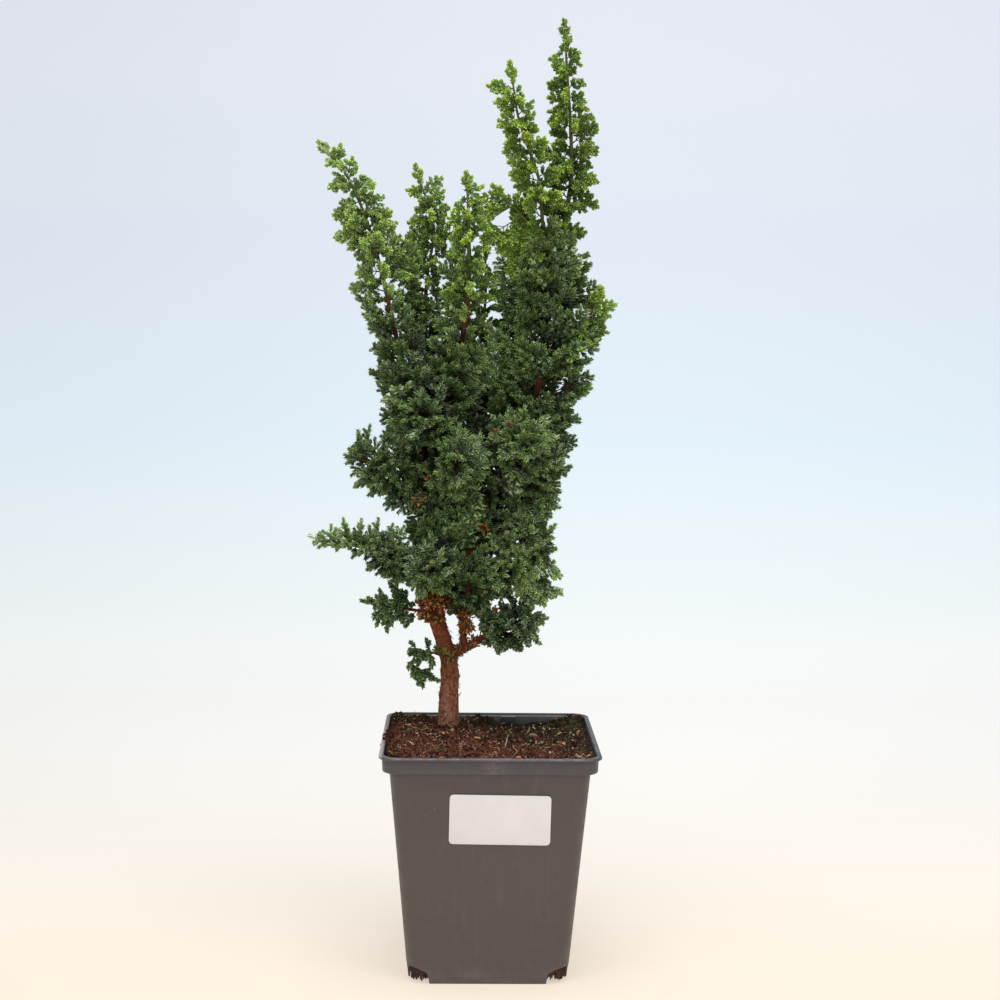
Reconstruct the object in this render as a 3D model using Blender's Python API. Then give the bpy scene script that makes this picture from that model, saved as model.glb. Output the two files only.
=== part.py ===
"""A young hinoki cypress trained as a bonsai, standing in its square nursery pot.

Metres, +Z up. The pot stands on z = 0 and its front, with the label, faces -Y. The tree grows from the
soil behind the pot's middle, and the crown's masses of foliage each ride on the limb that carries them.
"""

import math
from dataclasses import dataclass

import bmesh
import bpy
from mathutils import Matrix, Vector, noise

MM = 0.001
GAP = 0.3 * MM

# Pot, a square 11 cm nursery pot
POT_HEIGHT = 118 * MM
RIM_HALF = 55 * MM
RIM_THICK = 1.5 * MM
COLLAR_HALF = 53.2 * MM
COLLAR_HEIGHT = 7.2 * MM
COLLAR_FLARE = 0.3 * MM
COLLAR_ROUND = 0.6 * MM
LIP_ROUND = 0.4 * MM
LEDGE_LOW = 0.3 * MM
LEDGE_HIGH = 2.5 * MM
WALL_TOP_HALF = 49.9 * MM
WALL_BASE_HALF = 40.1 * MM
WALL = 1.1 * MM
POT_CORNER = 8.5 * MM
CORNER_STEPS = 4
BASE_UNDERSIDE = 8.5 * MM
BASE_THICK = 1.5 * MM
FOOT_HALF = 29 * MM
OPENING_EDGE = ((0, -1), (1.0, 4.4), (2.0, 5.8), (4.5, 6.3))
TAB_WIDTH = 8 * MM
TAB_HEIGHT = 5 * MM
TAB_DEPTH = 3 * MM
TAB_DROP = 1.2 * MM
TAB_CENTRE_X = 11.5 * MM

# Label, a plain card on the sloping front wall
LABEL_WIDTH = 50 * MM
LABEL_HEIGHT = 25.5 * MM
LABEL_THICK = 0.4 * MM
LABEL_CORNER = 2 * MM
LABEL_CENTRE_X = 5 * MM
LABEL_CENTRE_Z = 86 * MM
LABEL_TURN = math.radians(-0.7)

# Soil
SOIL_TOP = 114.6 * MM
SOIL_MOUND = 2.2 * MM
MOUND_REACH = 22 * MM
MOUND_AT_TRUNK = 0.8
MOUND_AT_LEFT = 0.5
SINK_AT_BACK_RIGHT = 0.9
SOIL_ROUGHNESS = 1.1 * MM
SOIL_GRAIN = 17 * MM
SOIL_CELLS = 14
SOIL_TAPER = 0.45 * MM
LITTER_LIFT = 0.5 * MM
LITTER_SIDES = 8
LEAF_THICK = 0.9 * MM

# Wood
TRUNK_FOOT = Vector((-21 * MM, 19 * MM, 0))
WOOD_CLEARANCE = 0.45 * MM
LIMB_STEP = 20 * MM
LIMB_TAPER = 0.85
ROOT_FLARE = 0.55
ROOT_FLARE_FADE = 28
STEEP_IN_DEPTH = 0.7

# Foliage
MASS_SIDES = 8
MASS_RINGS = 6
MASS_END = 0.08
MASS_FULLNESS = 0.6
LEAD_SHARE = 0.15
LOOK_AHEAD = 0.04
MASS_LUMP = 0.16
MASS_LUMP_SIZE = 15 * MM
MASS_CLEARANCE = 0.4 * MM
CHORD_PULL = 9.0
SCRAP = 0.01 * MM


@dataclass
class Limb:
    """A route of points in millimetres, with the wood's radius at its two ends."""

    name: str
    route: list
    thick: float
    thin: float
    sides: int = 6


@dataclass
class Mass:
    """The foliage that wraps a limb from one share of its length to another.

    Half sizes are in millimetres: across the limb as seen from the front, and in depth. Overhang is how
    far the leaves stand out past the stretch's far end.
    """

    name: str
    limb: str
    start: float
    end: float
    half_width: float
    half_depth: float
    overhang: float = 6
    top: float = 0.45


LIMBS = [
    Limb("trunk", [(-21, 20, 103), (-21, 19, 117), (-21, 18, 132), (-21, 18, 153), (-25, 16, 167),
                   (-29, 14, 182), (-30, 12, 197), (-27, 11, 215), (-25, 11, 239), (-27, 10, 262),
                   (-27, 9, 280), (-22, 6, 298), (-16, 2, 318), (-13, -2, 351), (-13, -4, 376),
                   (-14, -4, 398)], 5.6, 0.8, 8),
    Limb("right_leader", [(-29, 14, 185), (-18, 16, 202), (-9, 17, 217), (-1, 17, 238), (10, 17, 265),
                          (20, 16, 288), (26, 15, 306), (28, 15, 330), (33, 15, 363), (39, 15, 401),
                          (39, 15, 425), (36, 14, 464), (35, 13, 476)], 3.2, 0.7),
    Limb("second_leader", [(28, 15, 333), (26, 6, 363), (24, 2, 385), (22, 0, 403), (16, -2, 419),
                           (11, -3, 434), (8, -4, 450)], 1.4, 0.7),
    Limb("left_centre", [(-27, 10, 270), (-33, 16, 301), (-35, 19, 332), (-34, 20, 356), (-31, 20, 380),
                         (-38, 19, 402)], 1.7, 0.7),
    Limb("left_leader", [(-25, 11, 234), (-34, 4, 260), (-42, 1, 291), (-49, 1, 321), (-56, 2, 351),
                         (-64, 3, 379), (-74, 4, 402), (-86, 6, 417)], 2.2, 0.7),
    Limb("right_side", [(27, 15, 316), (39, 12, 323), (49, 12, 334), (53, 12, 342)], 1.1, 0.7),
    Limb("left_pad", [(-25, 11, 241), (-39, 6, 249), (-55, 2, 256), (-69, 0, 261)], 1.5, 0.7),
    Limb("left_low", [(-30, 13, 191), (-44, 4, 204), (-62, -2, 214), (-83, -6, 219)], 1.7, 0.7),
    Limb("left_small", [(-29, 14, 180), (-42, 20, 180), (-55, 24, 181), (-63, 26, 182)], 1.2, 0.7),
    Limb("twig", [(-22, 18, 156), (-32, 16, 158), (-39, 14, 156), (-41, 13, 149)], 1.0, 0.6),
    Limb("right_low", [(-20, 18, 156), (-10, 14, 162), (-3, 11, 167), (8, 8, 172), (17, 6, 176)], 2.3, 0.8),
    Limb("stub", [(-13, 15, 160), (-14, 15, 170), (-14, 12, 183), (-11, 6, 195)], 2.0, 0.8),
    Limb("front_low", [(-29, 12, 199), (-31, -2, 204), (-33, -14, 205)], 1.4, 0.7),
    Limb("front_mid", [(-27, 10, 250), (-22, -6, 257), (-15, -19, 263)], 1.4, 0.7),
    Limb("front_left", [(-27, 9, 275), (-34, -8, 281), (-40, -16, 284)], 1.3, 0.7),
    Limb("front_right", [(9, 17, 262), (13, 2, 267), (18, -10, 271)], 1.3, 0.7),
    Limb("right_mid", [(3, 17, 246), (17, 14, 254), (30, 10, 260)], 1.3, 0.7),
    Limb("right_lowmid", [(-6, 17, 225), (10, 12, 221), (26, 7, 216)], 1.3, 0.7),
    Limb("right_under", [(-12, 17, 211), (4, 11, 203), (20, 8, 196)], 1.2, 0.7),
    Limb("right_high", [(20, 16, 287), (33, 13, 294), (42, 11, 299)], 1.1, 0.7),
    Limb("second_side", [(25, 4, 372), (14, -1, 384), (4, -2, 394)], 1.0, 0.7),
    Limb("back_leader", [(-26, 11, 249), (-19, 28, 274), (-9, 38, 306), (-4, 38, 338), (-4, 34, 366)],
         1.7, 0.7),
    Limb("back_low", [(-29, 13, 191), (-21, 30, 192), (-11, 43, 193)], 1.4, 0.7),
    Limb("back_left", [(-27, 10, 265), (-38, 28, 273), (-45, 37, 282)], 1.4, 0.7),
    Limb("back_right", [(15, 16, 276), (20, 32, 285), (25, 41, 292)], 1.3, 0.7),
    Limb("back_mid", [(-6, 17, 228), (0, 32, 224), (6, 43, 220)], 1.3, 0.7),
]

MASSES = [
    Mass("spire_tall", "right_leader", 0.66, 1.0, 15, 13, 5, 0.5),
    Mass("spire_second", "second_leader", 0.42, 1.0, 15, 12, 6, 0.55),
    Mass("spire_left", "left_leader", 0.56, 1.0, 18, 14, 5, 0.45),
    Mass("spire_left_centre", "left_centre", 0.55, 1.0, 13, 11, 6, 0.5),
    Mass("spire_centre", "trunk", 0.78, 1.0, 14, 12, 6, 0.55),
    Mass("spire_right_side", "right_side", 0.45, 1.0, 10, 9, 5),
    Mass("spire_small", "second_side", 0.5, 1.0, 7, 7, 5),
    Mass("spire_back", "back_leader", 0.52, 1.0, 14, 12, 6, 0.55),
    Mass("pad_left_upper", "left_pad", 0.3, 1.0, 19, 17, 6),
    Mass("pad_left_low", "left_low", 0.25, 1.0, 15, 17, 5),
    Mass("pad_left_small", "left_small", 0.35, 1.0, 8, 10, 3),
    Mass("spray_bottom", "twig", 0.3, 1.0, 9, 8, 3),
    Mass("pad_right_low", "right_low", 0.5, 1.0, 22, 18, 9, 0.7),
    Mass("pad_front_low", "stub", 0.5, 1.0, 22, 17, 6, 0.7),
    Mass("pad_front_left_low", "front_low", 0.35, 1.0, 19, 16, 7, 0.7),
    Mass("pad_front_mid", "front_mid", 0.4, 1.0, 22, 19, 7, 0.7),
    Mass("pad_front_left", "front_left", 0.4, 1.0, 21, 19, 7, 0.7),
    Mass("pad_front_right", "front_right", 0.4, 1.0, 22, 22, 8, 0.7),
    Mass("pad_right_mid", "right_mid", 0.35, 1.0, 22, 18, 8, 0.7),
    Mass("pad_right_low_mid", "right_lowmid", 0.35, 1.0, 19, 18, 10, 0.7),
    Mass("pad_right_under", "right_under", 0.35, 1.0, 14, 16, 12, 0.7),
    Mass("pad_right_high", "right_high", 0.4, 1.0, 12, 13, 7, 0.7),
    Mass("pad_back_low", "back_low", 0.35, 1.0, 24, 20, 7, 0.7),
    Mass("pad_back_left", "back_left", 0.4, 1.0, 22, 22, 7, 0.7),
    Mass("pad_back_right", "back_right", 0.4, 1.0, 22, 24, 7, 0.7),
    Mass("pad_back_mid", "back_mid", 0.35, 1.0, 22, 22, 7, 0.7),
    Mass("body_right_upper", "right_leader", 0.43, 0.66, 27, 18, 2, 0.85),
    Mass("body_right_lower", "right_leader", 0.12, 0.43, 26, 18, 2, 0.95),
    Mass("body_second", "second_leader", 0.08, 0.42, 19, 13, 2, 0.85),
    Mass("body_left", "left_leader", 0.15, 0.56, 18, 15, 2, 1.0),
    Mass("body_left_centre", "left_centre", 0.06, 0.55, 15, 15, 2, 0.95),
    Mass("body_back", "back_leader", 0.12, 0.52, 24, 17, 2, 0.85),
    Mass("body_centre_upper", "trunk", 0.6, 0.78, 19, 15, 2, 0.9),
    Mass("body_centre_lower", "trunk", 0.37, 0.6, 22, 15, 2, 0.95),
]


def clear_scene():
    """Remove what a new file holds."""
    for obj in list(bpy.data.objects):
        bpy.data.objects.remove(obj)


def material(name, colour, roughness, metallic=0.0):
    """A Principled material with one plain colour."""
    made = bpy.data.materials.new(name)
    made.use_nodes = True
    shader = made.node_tree.nodes["Principled BSDF"]
    shader.inputs["Base Color"].default_value = (*colour, 1.0)
    shader.inputs["Roughness"].default_value = roughness
    shader.inputs["Metallic"].default_value = metallic
    return made


def new_object(name, bm, finish=None):
    """Turn a bmesh into an object, with its faces pointing out."""
    bmesh.ops.recalc_face_normals(bm, faces=bm.faces)
    mesh = bpy.data.meshes.new(name)
    bm.to_mesh(mesh)
    bm.free()
    obj = bpy.data.objects.new(name, mesh)
    bpy.context.scene.collection.objects.link(obj)
    if finish:
        mesh.materials.append(finish)
    return obj


def copy_of(obj):
    """A second object with its own copy of the mesh."""
    twin = obj.copy()
    twin.data = obj.data.copy()
    bpy.context.scene.collection.objects.link(twin)
    return twin


def cut_or_join(obj, other, operation, solver="EXACT"):
    """Apply one Boolean to the object and remove the other body."""
    other.hide_render = True
    other.display_type = "WIRE"
    boolean = obj.modifiers.new(other.name, "BOOLEAN")
    boolean.operation = operation
    boolean.solver = solver
    boolean.object = other
    bpy.context.view_layer.update()
    graph = bpy.context.evaluated_depsgraph_get()
    shaped = bpy.data.meshes.new_from_object(obj.evaluated_get(graph))
    obj.modifiers.clear()
    old, obj.data = obj.data, shaped
    shaped.name = obj.name
    bpy.data.meshes.remove(old)
    bpy.data.objects.remove(other)


def loft(rings):
    """Skin a closed solid over rings of as many points each, with a flat cap on each end.

    Its faces are triangles, so that every later cut splits them the same way.
    """
    bm = bmesh.new()
    before = None
    for ring in rings:
        verts = [bm.verts.new(point) for point in ring]
        following = verts[1:] + verts[:1]
        if before:
            for corners in zip(*before, following, verts):
                bm.faces.new(corners)
        else:
            bm.faces.new(verts)
        before = (verts, following)
    bm.faces.new(before[0])
    bmesh.ops.triangulate(bm, faces=bm.faces)
    return bm


def rounded_square(half, z, corner=POT_CORNER):
    """The corner points of a square ring with arcs for its corners."""
    points = []
    for quarter in range(4):
        middle = Matrix.Rotation(quarter * math.pi / 2, 3, "Z") @ Vector((half - corner, half - corner, 0))
        for step in range(CORNER_STEPS + 1):
            angle = (quarter + step / CORNER_STEPS) * math.pi / 2
            points.append(middle + Vector((corner * math.cos(angle), corner * math.sin(angle), z)))
    return points


def wall_half(z):
    """Half the pot's outer width at a height, on the sloping wall."""
    collar_z = POT_HEIGHT - RIM_THICK - COLLAR_HEIGHT
    return WALL_BASE_HALF + (WALL_TOP_HALF - WALL_BASE_HALF) * z / collar_z


def build_pot(finish):
    """The moulded pot: tapered wall, collar and lip, raised floor, and four feet with open corners."""
    collar_z = POT_HEIGHT - RIM_THICK - COLLAR_HEIGHT
    lip_z = POT_HEIGHT - RIM_THICK
    outer = [
        rounded_square(WALL_BASE_HALF, 0),
        rounded_square(WALL_TOP_HALF, collar_z),
        rounded_square(COLLAR_HALF - COLLAR_ROUND, collar_z + COLLAR_ROUND / 6),
        rounded_square(COLLAR_HALF, collar_z + 1.5 * COLLAR_ROUND),
        rounded_square(COLLAR_HALF + COLLAR_FLARE, lip_z - LIP_ROUND / 2),
        rounded_square(RIM_HALF - LIP_ROUND, lip_z),
        rounded_square(RIM_HALF, lip_z + RIM_THICK / 2),
        rounded_square(RIM_HALF - LIP_ROUND, POT_HEIGHT),
    ]
    pot = new_object("pot", loft(outer), finish)
    floor_z = BASE_UNDERSIDE + BASE_THICK
    inside = new_object("pot_inside", loft([
        rounded_square(wall_half(floor_z) - WALL, floor_z),
        rounded_square(wall_half(collar_z) - WALL, collar_z + LEDGE_LOW),
        rounded_square(COLLAR_HALF - WALL, collar_z + LEDGE_HIGH),
        rounded_square(COLLAR_HALF - WALL + COLLAR_FLARE, POT_HEIGHT + MM),
    ]))
    cut_or_join(pot, inside, "DIFFERENCE")
    recess = new_object("pot_recess", loft([
        rounded_square(wall_half(0) - WALL, -MM),
        rounded_square(wall_half(BASE_UNDERSIDE) - WALL, BASE_UNDERSIDE),
    ]))
    cut_or_join(pot, recess, "DIFFERENCE")
    for quarter in range(4):
        cut_or_join(pot, corner_opening(quarter), "DIFFERENCE")
    cut_or_join(pot, inner_tab(), "UNION")
    return pot


def corner_opening(quarter):
    """The body that opens one corner of the pot between two feet."""
    turn = Matrix.Rotation(quarter * math.pi / 2, 4, "Z")
    far = WALL_TOP_HALF
    rings = []
    for inward, z in OPENING_EDGE:
        near = FOOT_HALF + inward * MM
        corners = ((near, near), (far, near), (far, far), (near, far))
        rings.append([turn @ Vector((x, y, z * MM)) for x, y in corners])
    return new_object("corner_opening", loft(rings))


def inner_tab(grow=0.0):
    """The small moulded tab inside the back rim."""
    bm = bmesh.new()
    bmesh.ops.create_cube(bm, size=1.0)
    size = [side + 2 * grow for side in (TAB_WIDTH, TAB_DEPTH, TAB_HEIGHT)]
    bmesh.ops.scale(bm, vec=size, verts=bm.verts)
    place = (TAB_CENTRE_X, COLLAR_HALF - WALL, POT_HEIGHT - TAB_DROP - TAB_HEIGHT / 2)
    bmesh.ops.translate(bm, vec=place, verts=bm.verts)
    return new_object("inner_tab", bm)


def build_label(finish):
    """A thin card with rounded corners, flat on the sloping front wall."""
    bm = bmesh.new()
    bmesh.ops.create_cube(bm, size=1.0)
    bmesh.ops.scale(bm, vec=(LABEL_WIDTH, LABEL_THICK, LABEL_HEIGHT), verts=bm.verts)
    uprights = [e for e in bm.edges if abs(e.verts[0].co.y - e.verts[1].co.y) > LABEL_THICK / 2]
    bmesh.ops.bevel(bm, geom=uprights, offset=LABEL_CORNER, affect="EDGES", segments=3, profile=0.5,
                    material=-1)
    slope = math.atan2(WALL_TOP_HALF - WALL_BASE_HALF, POT_HEIGHT - RIM_THICK - COLLAR_HEIGHT)
    stand_off = (GAP + LABEL_THICK / 2) / math.cos(slope)
    place = (
        Matrix.Translation((LABEL_CENTRE_X, -wall_half(LABEL_CENTRE_Z) - stand_off, LABEL_CENTRE_Z))
        @ Matrix.Rotation(slope, 4, "X")
        @ Matrix.Rotation(-LABEL_TURN, 4, "Y")
    )
    bmesh.ops.transform(bm, matrix=place, verts=bm.verts)
    return new_object("label", bm, finish)


def soil_height(x, y):
    """The soil's surface: a low mound round the trunk and to the left, lower at the back right."""
    near_trunk = math.exp(-((x - TRUNK_FOOT.x) ** 2 + (y - TRUNK_FOOT.y) ** 2) / MOUND_REACH ** 2)
    left = max(0.0, -x) / RIM_HALF
    sink = max(0.0, x + y) / (2 * RIM_HALF)
    rise = MOUND_AT_TRUNK * near_trunk + MOUND_AT_LEFT * left - SINK_AT_BACK_RIGHT * sink
    return SOIL_TOP + SOIL_MOUND * rise + SOIL_ROUGHNESS * noise.noise(Vector((x, y, 0)) / SOIL_GRAIN)


def draw_in_corner(vert, half):
    """Move a point in the corner of a square inwards, onto the pot's rounded corner."""
    straight = half - POT_CORNER
    over = Vector((max(0, abs(vert.co.x) - straight), max(0, abs(vert.co.y) - straight)))
    if over.x and over.y:
        pulled = over.normalized() * max(over)
        vert.co.x = math.copysign(straight + pulled.x, vert.co.x)
        vert.co.y = math.copysign(straight + pulled.y, vert.co.y)


def build_soil(finish):
    """The rooted block of peat that fills the pot, with a bumpy top."""
    top_half = COLLAR_HALF - WALL - SOIL_TAPER
    bm = bmesh.new()
    bmesh.ops.create_grid(bm, x_segments=SOIL_CELLS, y_segments=SOIL_CELLS, size=top_half)
    for vert in bm.verts:
        draw_in_corner(vert, top_half)
        vert.co.z = soil_height(vert.co.x, vert.co.y)
    collar_z = POT_HEIGHT - RIM_THICK - COLLAR_HEIGHT
    floor_z = BASE_UNDERSIDE + BASE_THICK
    levels = [
        (collar_z + LEDGE_HIGH + SOIL_TAPER, top_half),
        (collar_z + LEDGE_LOW - SOIL_TAPER / 4, wall_half(collar_z) - WALL - SOIL_TAPER),
        (floor_z + GAP, wall_half(floor_z) - WALL - SOIL_TAPER),
    ]
    surface = layer = list(bm.faces)
    width = top_half
    for z, half in levels:
        made = bmesh.ops.extrude_face_region(bm, geom=layer)["geom"]
        if layer is not surface:
            bmesh.ops.delete(bm, geom=layer, context="FACES_ONLY")
        layer = [g for g in made if isinstance(g, bmesh.types.BMFace)]
        lowered = [g for g in made if isinstance(g, bmesh.types.BMVert)]
        for vert in lowered:
            vert.co.x *= half / width
            vert.co.y *= half / width
            draw_in_corner(vert, half)
            vert.co.z = z
        width = half
    bmesh.ops.dissolve_faces(bm, faces=layer)
    return new_object("soil", bm, finish)


def smooth_route(points):
    """Points in metres along a smooth curve through a route in millimetres."""
    route = [Vector(p) * MM for p in points]
    ends = [2 * route[0] - route[1], *route, 2 * route[-1] - route[-2]]
    smooth = []
    for a, b, c, d in zip(ends, ends[1:], ends[2:], ends[3:]):
        pieces = max(1, round((c - b).length / LIMB_STEP))
        for i in range(pieces):
            t = i / pieces
            smooth.append(0.5 * (2 * b + (c - a) * t + (2 * a - 5 * b + 4 * c - d) * t ** 2
                                 + (3 * b - a - 3 * c + d) * t ** 3))
    smooth.append(route[-1])
    return smooth


def lengths_along(route):
    """The share of a route's length that each of its points has reached."""
    reached = [0.0]
    for a, b in zip(route, route[1:]):
        reached.append(reached[-1] + (b - a).length)
    return [r / reached[-1] for r in reached]


def point_at(route, share):
    """The point at a share of a route's length."""
    reached = lengths_along(route)
    for a, b, low, high in zip(route, route[1:], reached, reached[1:]):
        if share <= high:
            return a.lerp(b, max(0.0, (share - low) / (high - low)))
    return route[-1]


def depth_axis(route):
    """The world axis that rings along a route take their depth from: Y, or X where the route runs in Y."""
    chord = (route[-1] - route[0]).normalized()
    return Vector((0, 1, 0)) if abs(chord.y) < STEEP_IN_DEPTH else Vector((1, 0, 0))


def ring_axes(tangent, axis):
    """Two directions across a tangent: the one that shows from the front, and the one in depth."""
    depth = (axis - tangent * axis.dot(tangent)).normalized()
    return tangent.cross(depth).normalized(), depth


def tangents_of(route):
    """The direction of travel at each point of a route."""
    ahead = route[1:] + route[-1:]
    behind = route[:1] + route[:-1]
    return [(b - a).normalized() for a, b in zip(behind, ahead)]


def limb_body(limb, grow=0.0):
    """One tapered limb, a little thicker all over when grow is given."""
    route = smooth_route(limb.route)
    tangents = tangents_of(route)
    axis = depth_axis(route)
    if grow:
        route = [route[0] - tangents[0] * grow, *route[1:-1], route[-1] + tangents[-1] * grow]
    rings = []
    for point, tangent, share in zip(route, tangents, lengths_along(route)):
        across, depth = ring_axes(tangent, axis)
        flare = 1 + ROOT_FLARE * math.exp(-share * ROOT_FLARE_FADE) if limb.name == "trunk" else 1
        radius = (limb.thick + (limb.thin - limb.thick) * share ** LIMB_TAPER) * MM * flare + grow
        rings.append([
            point + across * (radius * math.cos(angle)) + depth * (radius * math.sin(angle))
            for angle in (2 * math.pi * side / limb.sides for side in range(limb.sides))
        ])
    return new_object(limb.name + "_body", loft(rings))


def build_wood(name, finish=None, grow=0.0):
    """The trunk with every limb grown into it, as one body."""
    bodies = [limb_body(limb, grow) for limb in LIMBS]
    wood = bodies[0]
    for body in bodies[1:]:
        cut_or_join(wood, body, "UNION")
    wood.name = name
    wood.data.name = name
    if finish:
        wood.data.materials.clear()
        wood.data.materials.append(finish)
    return wood


def mass_body(mass, grow=0.0):
    """One lumpy mass of foliage round its stretch of limb."""
    limb = next(one for one in LIMBS if one.name == mass.limb)
    route = [Vector(p) * MM for p in limb.route]
    first = point_at(route, mass.start)
    last = point_at(route, mass.end)
    chord = (last - first).normalized()
    lead = (last - point_at(route, max(mass.start, mass.end - LEAD_SHARE))).normalized()
    axis = depth_axis((first, last))
    rings = []
    for ring in range(MASS_RINGS):
        turn = (MASS_END + (1 - 2 * MASS_END) * ring / (MASS_RINGS - 1)) * math.pi
        along = (1 - math.cos(turn)) / 2
        share = mass.start + (mass.end - mass.start) * along
        centre = point_at(route, share) + lead * (mass.overhang * MM * max(0.0, 2 * along - 1))
        before, after = max(0.0, share - LOOK_AHEAD), min(1.0, share + LOOK_AHEAD)
        ahead = point_at(route, after) - point_at(route, before)
        tangent = (ahead.normalized() + CHORD_PULL * chord).normalized()
        centre += tangent * (grow * -math.cos(turn))
        across, depth = ring_axes(tangent, axis)
        belly = math.sin(turn) ** MASS_FULLNESS * (1 + (mass.top - 1) * along)
        points = []
        for side in range(MASS_SIDES):
            angle = 2 * math.pi * side / MASS_SIDES
            reach = (across * (mass.half_width * math.cos(angle))
                     + depth * (mass.half_depth * math.sin(angle))) * MM * belly
            lump = 1 + MASS_LUMP * noise.noise((centre + reach) / MASS_LUMP_SIZE)
            points.append(centre + reach * lump + reach.normalized() * grow)
        rings.append(points)
    return new_object(mass.name, loft(rings))


def boxes_meet(a, b):
    """Whether two objects' bounding boxes overlap."""
    corners = []
    for obj in (a, b):
        cos = [v.co for v in obj.data.vertices]
        corners.append([(min(c[i] for c in cos), max(c[i] for c in cos)) for i in range(3)])
    return all(low_a < high_b and low_b < high_a
               for (low_a, high_a), (low_b, high_b) in zip(*corners))


def keep_largest(obj):
    """Drop the small scraps that a cut leaves beside the main body."""
    bm = bmesh.new()
    bm.from_mesh(obj.data)
    bmesh.ops.dissolve_degenerate(bm, dist=SCRAP, edges=bm.edges)
    left = set(bm.verts)
    islands = []
    while left:
        island, queue = set(), [left.pop()]
        while queue:
            vert = queue.pop()
            island.add(vert)
            near = {e.other_vert(vert) for e in vert.link_edges} & left
            left -= near
            queue.extend(near)
        islands.append(island)
    islands.sort(key=spread, reverse=True)
    for scrap in islands[1:]:
        bmesh.ops.delete(bm, geom=list(scrap), context="VERTS")
    bm.to_mesh(obj.data)
    bm.free()


def spread(island):
    """The volume of the box round a set of vertices."""
    size = 1.0
    for axis in range(3):
        values = [v.co[axis] for v in island]
        size *= max(values) - min(values)
    return size


def build_foliage(finishes, wood_room):
    """Every foliage mass, each clear of the wood and of those before it."""
    made = []
    for mass in MASSES:
        body = mass_body(mass)
        for earlier_mass, earlier in made:
            if boxes_meet(body, earlier):
                cut_or_join(body, mass_body(earlier_mass, MASS_CLEARANCE), "DIFFERENCE", "MANIFOLD")
        cut_or_join(body, copy_of(wood_room), "DIFFERENCE", "MANIFOLD")
        keep_largest(body)
        body.data.materials.clear()
        body.data.materials.append(finishes["tip" if mass.name.startswith("spire") else "leaf"])
        made.append((mass, body))
    return [body for _, body in made]


def litter_piece(name, place, length, width, turn, finish, thick=LEAF_THICK):
    """A small flat piece lying on the soil, following its surface."""
    bm = bmesh.new()
    bmesh.ops.create_circle(bm, cap_ends=True, radius=0.5, segments=LITTER_SIDES)
    made = bmesh.ops.extrude_face_region(bm, geom=list(bm.faces))["geom"]
    upper = {g for g in made if isinstance(g, bmesh.types.BMVert)}
    bmesh.ops.scale(bm, vec=(length, width, 1), verts=bm.verts)
    bmesh.ops.rotate(bm, matrix=Matrix.Rotation(turn, 3, "Z"), verts=bm.verts)
    for vert in bm.verts:
        vert.co.x += place[0] * MM
        vert.co.y += place[1] * MM
        ground = soil_height(vert.co.x, vert.co.y) + LITTER_LIFT
        vert.co.z = ground + (thick if vert in upper else 0)
    return new_object(name, bm, finish)


def build_litter(finishes):
    """What lies on the soil: fallen dead sprays, bark, moss and straw."""
    return [
        litter_piece("fallen_spray_back", (35, 46), 7 * MM, 4 * MM, 0.4, finishes["dead"]),
        litter_piece("fallen_spray_right", (46, 11), 6 * MM, 3.5 * MM, 1.2, finishes["dead"]),
        litter_piece("fallen_leaf_middle", (13, 31), 5 * MM, 3 * MM, 2.0, finishes["dead"]),
        litter_piece("bark_chip", (37, -8), 6 * MM, 3 * MM, 0.2, finishes["bark"]),
        litter_piece("straw_stem", (9, 0), 22 * MM, 2 * MM, 1.5, finishes["straw"]),
        litter_piece("moss_right", (46, 26), 9 * MM, 12 * MM, 0.3, finishes["moss"], 1.6 * MM),
        litter_piece("moss_left", (-45, 34), 9 * MM, 8 * MM, 0.9, finishes["moss"], 1.6 * MM),
        litter_piece("moss_front", (-24, -30), 10 * MM, 7 * MM, 0.1, finishes["moss"], 1.3 * MM),
    ]


def main():
    """Build every piece, then set the frame's origin under the middle of the whole plant."""
    clear_scene()
    finishes = {
        "pot": material("pot_plastic", (0.105, 0.105, 0.115), 0.5),
        "label": material("label_card", (0.86, 0.84, 0.84), 0.45),
        "soil": material("peat", (0.055, 0.032, 0.024), 0.95),
        "bark": material("red_bark", (0.23, 0.085, 0.045), 0.85),
        "leaf": material("leaf_dark", (0.035, 0.1, 0.045), 0.6),
        "tip": material("leaf_young", (0.11, 0.22, 0.05), 0.6),
        "dead": material("leaf_dead", (0.5, 0.19, 0.05), 0.85),
        "straw": material("straw", (0.5, 0.36, 0.17), 0.8),
        "moss": material("moss", (0.1, 0.16, 0.03), 0.95),
    }
    pot = build_pot(finishes["pot"])
    label = build_label(finishes["label"])
    soil = build_soil(finishes["soil"])
    wood = build_wood("trunk_and_limbs", finishes["bark"])
    wood_room = build_wood("wood_room", grow=WOOD_CLEARANCE)
    cut_or_join(soil, copy_of(wood_room), "DIFFERENCE")
    cut_or_join(soil, inner_tab(SOIL_TAPER), "DIFFERENCE")
    soil.data.materials.clear()
    soil.data.materials.append(finishes["soil"])
    foliage = build_foliage(finishes, wood_room)
    bpy.data.objects.remove(wood_room)
    parts = [pot, label, soil, wood, *foliage, *build_litter(finishes)]
    bonsai = bpy.data.objects.new("bonsai", None)
    bpy.context.scene.collection.objects.link(bonsai)
    corners = [v.co for part in parts for v in part.data.vertices]
    middle = [(min(c[axis] for c in corners) + max(c[axis] for c in corners)) / 2 for axis in (0, 1)]
    bonsai.location = (-middle[0], -middle[1], 0)
    for part in parts:
        part.parent = bonsai


main()
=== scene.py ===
"""The looks of a young hinoki cypress bonsai that stands in its square nursery pot.

Every mesh is modelled in millimetres in the pot's own frame: the origin is under the middle of the pot,
Z points up and the label faces -Y. A piece is turned into metres in the row frame when it is finished.
"""

import logging
from dataclasses import dataclass, field
from enum import Enum
from math import atan2, copysign, cos, exp, hypot, pi, radians, sin, tau
from random import Random
from typing import Iterable, Sequence

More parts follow.
